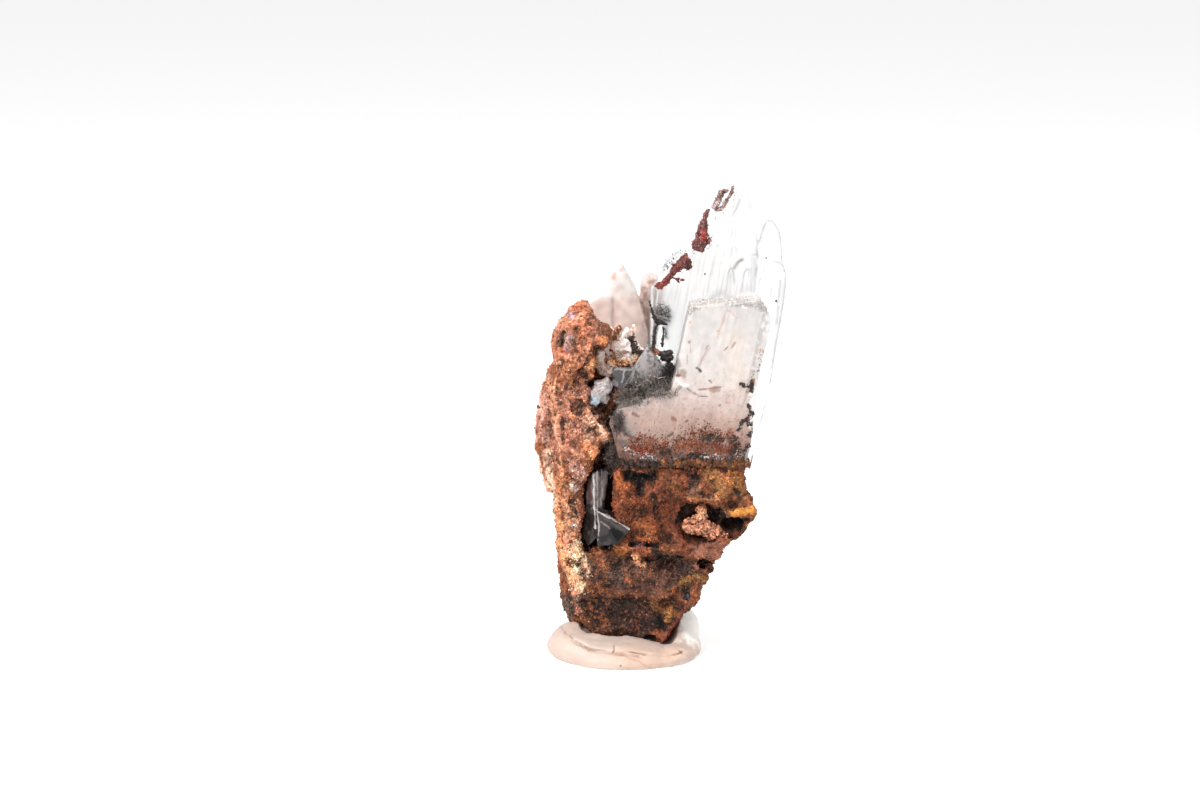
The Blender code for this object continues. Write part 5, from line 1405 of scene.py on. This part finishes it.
chip = drawn_lump("pale_blue_barite_chip", [
    [(-6.2, 24.7, 0.38), (-5.9, 25.4, 0.6), (-5.25, 26.2, 0.72), (-4.65, 26.8, 0.45)],
    [(-5.2, 25.4, 0.5), (-4.75, 25.0, 0.35)], [(-5.6, 26.4, 0.5), (-5.0, 26.9, 0.35)]],
    -5.5, 0.06)
relief(chip, "VORONOI", 0.9, 0.5, level=0.4)
relief(chip, "CLOUDS", 0.4, 0.2)
smooth_under(chip, 28.0)
chip_points = points_of(chip)
chip_colours = blend_patches(chip_points, "B5AAA8", [
    # the chip's blue tint and a painted highlight on the lower left
    ((-6.0, -5.9, 24.9), (0.6, 0.8, 0.6), "B4C8D8", 0.85),
    ((-4.6, -5.8, 26.6), (0.5, 0.8, 0.5), "8E8685", 0.7),
    ((-5.0, -5.8, 25.0), (0.5, 0.8, 0.4), "6E625E", 0.7)], size=0.5)
chip_colours = speckle(chip_points, chip_colours, 0.35, 0.3, 2.0)
# painted shade in the pits and painted light on what stands out
store_colours(chip, cavity_shade_and_light(chip, chip_colours, 0.1, 0.5, 1.2, rounds=8))
chip.data.materials.clear()
chip.data.materials.append(milky_finish("pale blue barite, cloudy", 0.25, 0.4, 0.2, 0.8))
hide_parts("pale_blue_chip")
settle(chip)
grains_on(chip, "chip_frost", None, 70, 0.03, 0.08, ["B0A8A6", "8E8480", "C6BEBC", "5A4A44"],
          MILKY, 71)

crust("hematite_low", [
    [(-0.34, 35.29, 0.23), (0.12, 35.24, 0.32), (0.49, 35.47, 0.30), (0.85, 36.03, 0.26),
     (1.31, 36.64, 0.30), (1.86, 37.16, 0.42), (2.41, 37.53, 0.58), (2.69, 37.72, 0.49)],
    [(2.42, 37.06, 0.46), (2.78, 37.25, 0.37)],
    [(0.94, 36.13, 0.14), (1.41, 35.89, 0.10), (1.87, 35.80, 0.09), (2.24, 35.80, 0.07)],
    [(1.45, 35.85, 0.07), (1.87, 35.47, 0.05)]], "5A2A26", [
    ((0.4, -2.8, 35.1), (0.7, 0.8, 0.4), "8E4238", 0.7),
    ((2.6, -2.9, 37.2), (0.5, 0.8, 0.5), "4A2A26", 0.8)], HEMATITE, 21)
crust("hematite_mid", [
    [(3.42, 38.56, 0.48), (3.60, 38.93, 0.58), (3.78, 39.49, 0.56), (3.87, 40.14, 0.49),
     (3.96, 40.79, 0.35), (4.09, 41.44, 0.19), (4.23, 42.00, 0.15), (4.41, 42.28, 0.10)],
    [(4.15, 39.12, 0.22), (4.52, 39.40, 0.12), (4.56, 39.72, 0.09)]], "5E3835", [
    ((4.0, -3.0, 40.0), (0.3, 0.8, 0.55), "943A30", 0.85)], HEMATITE, 22)
crust("hematite_top", [
    [(5.01, 42.47, 0.24), (5.19, 42.93, 0.24), (5.41, 43.39, 0.19), (5.68, 43.86, 0.21),
     (5.96, 44.18, 0.14)],
    [(5.01, 42.37, 0.20), (5.42, 42.28, 0.14), (5.78, 42.65, 0.10), (6.15, 43.21, 0.10),
     (6.47, 43.72, 0.10), (6.64, 44.27, 0.11)],
    [(5.91, 44.18, 0.10), (6.19, 43.99, 0.07)],
    [(6.64, 44.41, 0.08), (6.73, 44.64, 0.06)]], "6B5550", [
    ((5.3, -2.6, 42.7), (0.5, 0.8, 0.7), "8E7C7A", 0.85),
    ((6.0, -2.6, 43.7), (0.3, 0.8, 0.3), "3E2F2C", 0.8)], HEMATITE, 23)
crust("black_crust", [
    [(-0.98, 33.83, 0.06), (-0.80, 33.17, 0.09), (-0.61, 32.51, 0.14), (-0.33, 31.95, 0.19), (-0.05, 31.57, 0.15)],
    [(-0.14, 32.04, 0.13), (0.32, 31.66, 0.13), (0.69, 31.57, 0.08)],
    [(-0.33, 31.48, 0.09), (-0.42, 30.82, 0.10), (-0.51, 30.06, 0.11), (-0.60, 29.40, 0.13)],
    [(0.32, 31.38, 0.07), (0.37, 30.72, 0.10), (0.28, 30.06, 0.13), (0.24, 29.49, 0.08)],
    [(-0.78, 29.40, 0.13), (-0.41, 29.12, 0.19), (0.05, 28.83, 0.24), (0.61, 28.83, 0.28), (1.17, 29.02, 0.22)],
    [(0.15, 28.55, 0.28), (0.71, 28.36, 0.35), (1.17, 28.45, 0.26)],
    [(0.71, 27.89, 0.35), (1.08, 27.60, 0.26), (1.18, 27.03, 0.18), (1.27, 26.56, 0.10)]], "211A19", [
    ((-0.41, -3.0, 29.02), (0.4, 0.8, 0.35), "8A5638", 0.85),
    ((1.36, -3.0, 26.75), (0.3, 0.8, 0.3), "7E2418", 0.9)],
    GOETHITE, 24, fine=0.5)

# %% [markdown]
# A few specks of the same crusts dot the clear faces: an arc of dust left of the lowest crust, a
# pale grey flake by the fingers' tips, and single dots.

# %% Specks on the clear faces
def strewn(name, paths, count, spread, low, high, codes, depth, material, seed):
    """Strew crumbs around paths drawn at one depth; all in mm."""
    chance = np.random.default_rng(seed)
    chosen = [paths[i] for i in chance.integers(0, len(paths), count)]
    flat = []
    for path in chosen:
        step = chance.integers(0, len(path) - 1)
        share = chance.random()
        flat.append(np.array(path[step]) * (1 - share) + np.array(path[step + 1]) * share)
    flat = np.array(flat) + chance.normal(0.0, spread, (count, 2))
    spots = np.stack([flat[:, 0], np.full(count, depth), flat[:, 1]], axis=1)
    sizes = chance.uniform(low, high, (count, 1)) * chance.uniform(0.4, 1.5, (count, 3))
    palette = np.array([linear(code) for code in codes])
    piece = joined_copies(name, CRUMB, spots, random_turns(count, chance), sizes,
                          palette[chance.integers(0, len(codes), count)], material)
    settle(piece)
    return piece


strewn("dust_arc", [[(0.5, 37.3), (1.0, 37.9), (1.7, 38.35), (2.5, 38.5)],
                    [(0.5, 36.8), (0.9, 37.2), (1.6, 37.8)], [(0.4, 36.6), (1.2, 37.2)]],
       70, 0.10, 0.02, 0.06, ["5A5458", "8E888C", "3E383A"], FACE - 0.02, GOETHITE,
       51)
strewn("black_smudge", [[(-0.33, 32.70), (0.41, 32.51), (0.87, 32.14)], [(-0.14, 32.14), (0.78, 31.85)],
                        [(0.78, 32.98), (0.88, 31.76)]],
       420, 0.14, 0.015, 0.05, ["4A4446", "6E686A", "2E2A2A", "8A8486"], FACE - 0.02, GOETHITE,
       55)
strewn("grey_column", [[(-0.33, 31.19), (-0.41, 29.49)], [(-0.56, 31.00), (-0.60, 29.49)], [(0.51, 31.19), (0.60, 30.25)]],
       240, 0.07, 0.015, 0.05, ["5E6668", "7E8688", "3A3E40"], FACE - 0.02, GOETHITE,
       56)
strewn("single_dots", [[(9.79, 37.77), (9.80, 37.79)], [(11.42, 36.7), (11.5, 36.6)],
                       [(10.8, 33.68), (10.82, 33.7)], [(4.18, 36.29), (4.2, 36.3)]],
       14, 0.03, 0.04, 0.09, ["3A3434", "5A5250"], FACE - 0.02, GOETHITE, 53)
strewn("hematite_dust", [[(3.3, 38.3), (4.6, 40.9)], [(4.2, 38.7), (4.7, 39.4)],
                         [(5.2, 42.0), (6.9, 43.6)], [(1.4, 36.0), (3.2, 37.6)]],
       120, 0.30, 0.015, 0.05, ["6A3A36", "8E5A54", "4A3030"], FACE - 0.02, HEMATITE,
       54)

# %% [markdown]
# The vug holds a druse: a coat of tiny tan-pink crystals that glitter. Drawn strokes give its
# nub, body and tail, and about two thousand small crumbs with glossy faces give its sparkle.

# %% Drusy nest
DRUSE = crust_finish("drusy quartz, glittering", 0.2, 0.0)
nest = drawn_lump("drusy_nest_body", [
    [(4.0, 15.0, 0.3), (3.95, 14.5, 0.42), (3.8, 13.8, 0.4), (3.6, 13.2, 0.6)],
    [(2.45, 13.4, 0.3), (3.0, 13.2, 0.5), (3.9, 13.1, 0.7), (4.6, 12.8, 0.6),
     (5.3, 12.4, 0.45), (6.1, 11.95, 0.35)]], -5.9, 0.08)
relief(nest, "CLOUDS", 0.7, 0.7)
relief(nest, "VORONOI", 0.4, 0.5, level=0.4)
smooth_under(nest, 50.0)
nest_points = points_of(nest)
nest_colours = blend_patches(nest_points, "94624A", [
    # painted highlight on the raised nub
    ((3.9, -6.4, 14.5), (0.6, 0.8, 0.6), "CE9A76", 0.8),
    ((5.8, -6.2, 12.1), (0.8, 0.8, 0.5), "7A4E3E", 0.7)], size=0.5)
nest_colours = speckle(nest_points, nest_colours, 0.3, 0.8, 3.3)
# painted shade in the pits and painted light on what stands out
nest_colours = cavity_shade_and_light(nest, nest_colours, 0.1, 0.08, 1.6, rounds=8)
store_colours(nest, nest_colours)
nest.data.materials.clear()
nest.data.materials.append(DRUSE)
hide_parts("drusy_nest")
settle(nest)
chance = np.random.default_rng(31)
count = 2200
spots, outward, nearest = surface_spots(nest, count, chance)
sizes = chance.uniform(0.04, 0.15, (count, 1)) * chance.uniform(0.5, 1.4, (count, 3))
grains = joined_copies("drusy_nest_grains", CRUMB, spots, random_turns(count, chance), sizes,
                       vary(nest_colours[nearest], chance, 0.35, 1.8), DRUSE)
settle(grains)

# %% [markdown]
# Goethite also grows as fine hairs. A dark felt of them fills the valley between the grey wedge
# and the milky foot, and the cleft below. One hair is a thin three-sided spike; copies of it
# take random sizes and turns, from nearly black to pale where the light catches them.

# %% Felt of goethite needles
def needle_form():
    """Model one hair as a thin three-sided cone along Z."""
    bpy.ops.mesh.primitive_cone_add(vertices=3, radius1=1.0, radius2=0.2, depth=2.0)
    spike = bpy.context.object
    points = np.array([vertex.co[:] for vertex in spike.data.vertices])
    spike.data.calc_loop_triangles()
    faces = np.array([face.vertices[:] for face in spike.data.loop_triangles])
    bpy.data.objects.remove(spike)
    return points, faces


def felt(name, zones, seed):
    """Strew hairs in zones: centre, half sizes, how many, and dark and pale colours."""
    chance = np.random.default_rng(seed)
    spots, sizes, colours = [], [], []
    for centre, half_sizes, number, dark, pale in zones:
        cloud = chance.normal(size=(number, 3)) * 0.5
        spots.append(np.array(centre) + np.clip(cloud, -1.0, 1.0) * np.array(half_sizes))
        thick = chance.uniform(0.012, 0.03, number)
        sizes.append(np.stack([thick, thick, chance.uniform(0.15, 0.5, number)], axis=1))
        mix = (chance.random(number) ** 2)[:, None]
        colours.append(linear(dark) * (1 - mix) + linear(pale) * mix)
    total = sum(len(group) for group in spots)
    piece = joined_copies(name, needle_form(), np.concatenate(spots), random_turns(total, chance),
                          np.concatenate(sizes), np.concatenate(colours), GOETHITE)
    settle(piece)
    return piece


felt("goethite_felt", [
    ((-0.8, -4.8, 26.2), (2.5, 0.9, 1.05), 2300, "2E2623", "B5AAA2"),
    ((0.75, -4.2, 27.1), (0.9, 0.8, 1.0), 900, "120E0D", "3A3230"),
    ((-2.9, -6.0, 25.6), (1.2, 0.8, 0.5), 450, "2A2321", "8A7A70"),
    ((-2.5, -6.7, 25.2), (1.4, 0.3, 0.28), 260, "3A302D", "B5AAA2"),
    ((0.1, -6.7, 25.9), (1.3, 0.3, 0.26), 260, "3A302D", "B5AAA2"),
    ((-3.9, -6.8, 23.2), (0.6, 0.35, 1.1), 420, "2A2422", "8A7C76"),
    ((0.3, -2.7, 32.9), (0.5, 0.12, 0.8), 90, "1E1817", "7A7270"),
    ((-4.0, -5.4, 20.0), (1.0, 1.2, 1.8), 1400, "2C221E", "7A675C"),
], 41)

# %% [markdown]
# Mineral tack is a soft putty. A thumb has pressed it flat and folded one lip over, so it has
# rounded rims, a few creases and specks of dirt. It is slightly see-through at thin rims, which
# a little scattering inside gives.

# %% Mineral tack
tack = copy_of("mineral_tack", "mineral_tack_lump")
shape_with(tack, "REMESH", mode="VOXEL", voxel_size=0.13 * MM)


def crease(piece, path, width, depth):
    """Press a soft groove into the skin along a path of points, all in mm."""
    points = points_of(piece)
    normals = np.empty(len(points) * 3)
    piece.data.vertices.foreach_get("normal", normals)
    normals = normals.reshape(-1, 3)
    nearest = np.full(len(points), np.inf)
    for start, end in zip(path, path[1:]):
        a, b = np.array(start), np.array(end)
        share = np.clip(((points - a) @ (b - a)) / ((b - a) @ (b - a)), 0.0, 1.0)
        nearest = np.minimum(nearest, np.linalg.norm(points - a - share[:, None] * (b - a), axis=1))
    press = depth * np.exp(-(nearest / width) ** 2)
    moved = (points - normals * press[:, None]) * MM
    piece.data.vertices.foreach_set("co", moved.ravel())
    piece.data.update()


crease(tack, [(-9.3, -5.6, 3.0), (-6.5, -7.2, 2.1), (-3.7, -7.8, 1.8), (-1.8, -7.9, 1.7)], 0.2, 0.5)
crease(tack, [(-3.7, -7.9, 1.7), (-3.2, -7.8, 2.0), (-1.6, -7.7, 1.9), (1.2, -6.8, 1.6),
              (2.6, -5.8, 1.6)], 0.16, 0.5)
crease(tack, [(1.9, -6.0, 2.4), (2.2, -5.6, 1.0), (2.0, -6.2, 0.3)], 0.2, 0.4)
flat = points_of(tack)
sink = np.interp(flat[:, 0], [-9.0, -6.5, -3.0, 0.5, 3.0, 5.0], [0.0, 0.2, 0.18, 0.42, 0.3, 0.0])
flat[:, 2] *= 1.0 - sink * np.clip((-3.0 - flat[:, 1]) / 1.5, 0.0, 1.0)
move_points(tack, flat)
relief(tack, "CLOUDS", 1.6, 0.22, noise_depth=2)
relief(tack, "CLOUDS", 0.4, 0.05)
smooth_under(tack, 60.0)
flat = points_of(tack)
flat[:, 2] = np.maximum(flat[:, 2], 0.0)
tack.data.vertices.foreach_set("co", (flat * MM).ravel())
tack.data.update()
tack_colours = blend_patches(flat, "C9B4A8", [
    ((-1.5, -8.0, 1.2), (3.6, 1.6, 1.4), "C6A997", 0.7),
    # painted light: the back right of the tack, shaded by the rock, painted near white
    ((3.6, 0.0, 2.5), (2.8, 4.6, 2.8), "FFFAF4", 1.0),
    ((-5.0, -7.2, 2.6), (5.0, 1.6, 0.8), "BDAEA2", 0.75),
    ((-3.5, -8.2, 1.5), (0.16, 0.5, 0.12), "5A4438", 0.9),
    ((-3.6, -8.4, 0.5), (0.12, 0.5, 0.12), "6A5244", 0.8),
    ((1.5, -6.6, 1.2), (1.4, 1.2, 0.6), "E6C4AA", 0.6),
], ragged=0.3, size=0.8)
tack_colours = lay_marks(flat, tack_colours, [
    ("flap edge", [(-9.62, 3.59), (-7.85, 2.14), (-6.26, 1.36), (-4.95, 1.26)], 0.07, 0.0, "8A7464", 0.6),
    ("flap edge", [(-4.30, 1.07), (-3.08, 0.78), (-1.77, 0.19), (-0.65, -0.49)], 0.07, 0.0, "A88468", 0.6),
    ("flap tip", [(-4.30, 1.07), (-4.21, 1.75)], 0.08, 0.0, "6E5644", 0.8),
    ("fold line", [(-8.32, 2.81), (-6.45, 2.23), (-4.39, 2.14)], 0.05, 0.0, "A2907F", 0.5)])
store_colours(tack, tack_colours)


def tack_finish():
    material, tree, output = new_finish("mineral tack, pressed putty")
    place = add(tree, "ShaderNodeTexCoord").outputs["Object"]
    zone = add(tree, "ShaderNodeAttribute", attribute_name="zone").outputs["Color"]
    skin = add(tree, "ShaderNodeTexNoise", {
        "Vector": place, "Scale": per_mm(0.5), "Detail": 5.0})
    bump = add(tree, "ShaderNodeBump", {
        "Strength": 0.25, "Distance": 0.08 * MM, "Height": skin.outputs["Fac"]})
    shader = add(tree, "ShaderNodeBsdfPrincipled", {
        "Base Color": zone, "Roughness": 0.55, "Subsurface Weight": 0.35,
        "Subsurface Radius": (1.2 * MM, 0.9 * MM, 0.6 * MM), "Subsurface Scale": 1.0,
        "Normal": bump.outputs["Normal"]})
    tree.links.new(shader.outputs[0], output.inputs["Surface"])
    return material


tack.data.materials.append(tack_finish())
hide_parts("mineral_tack")
settle(tack)
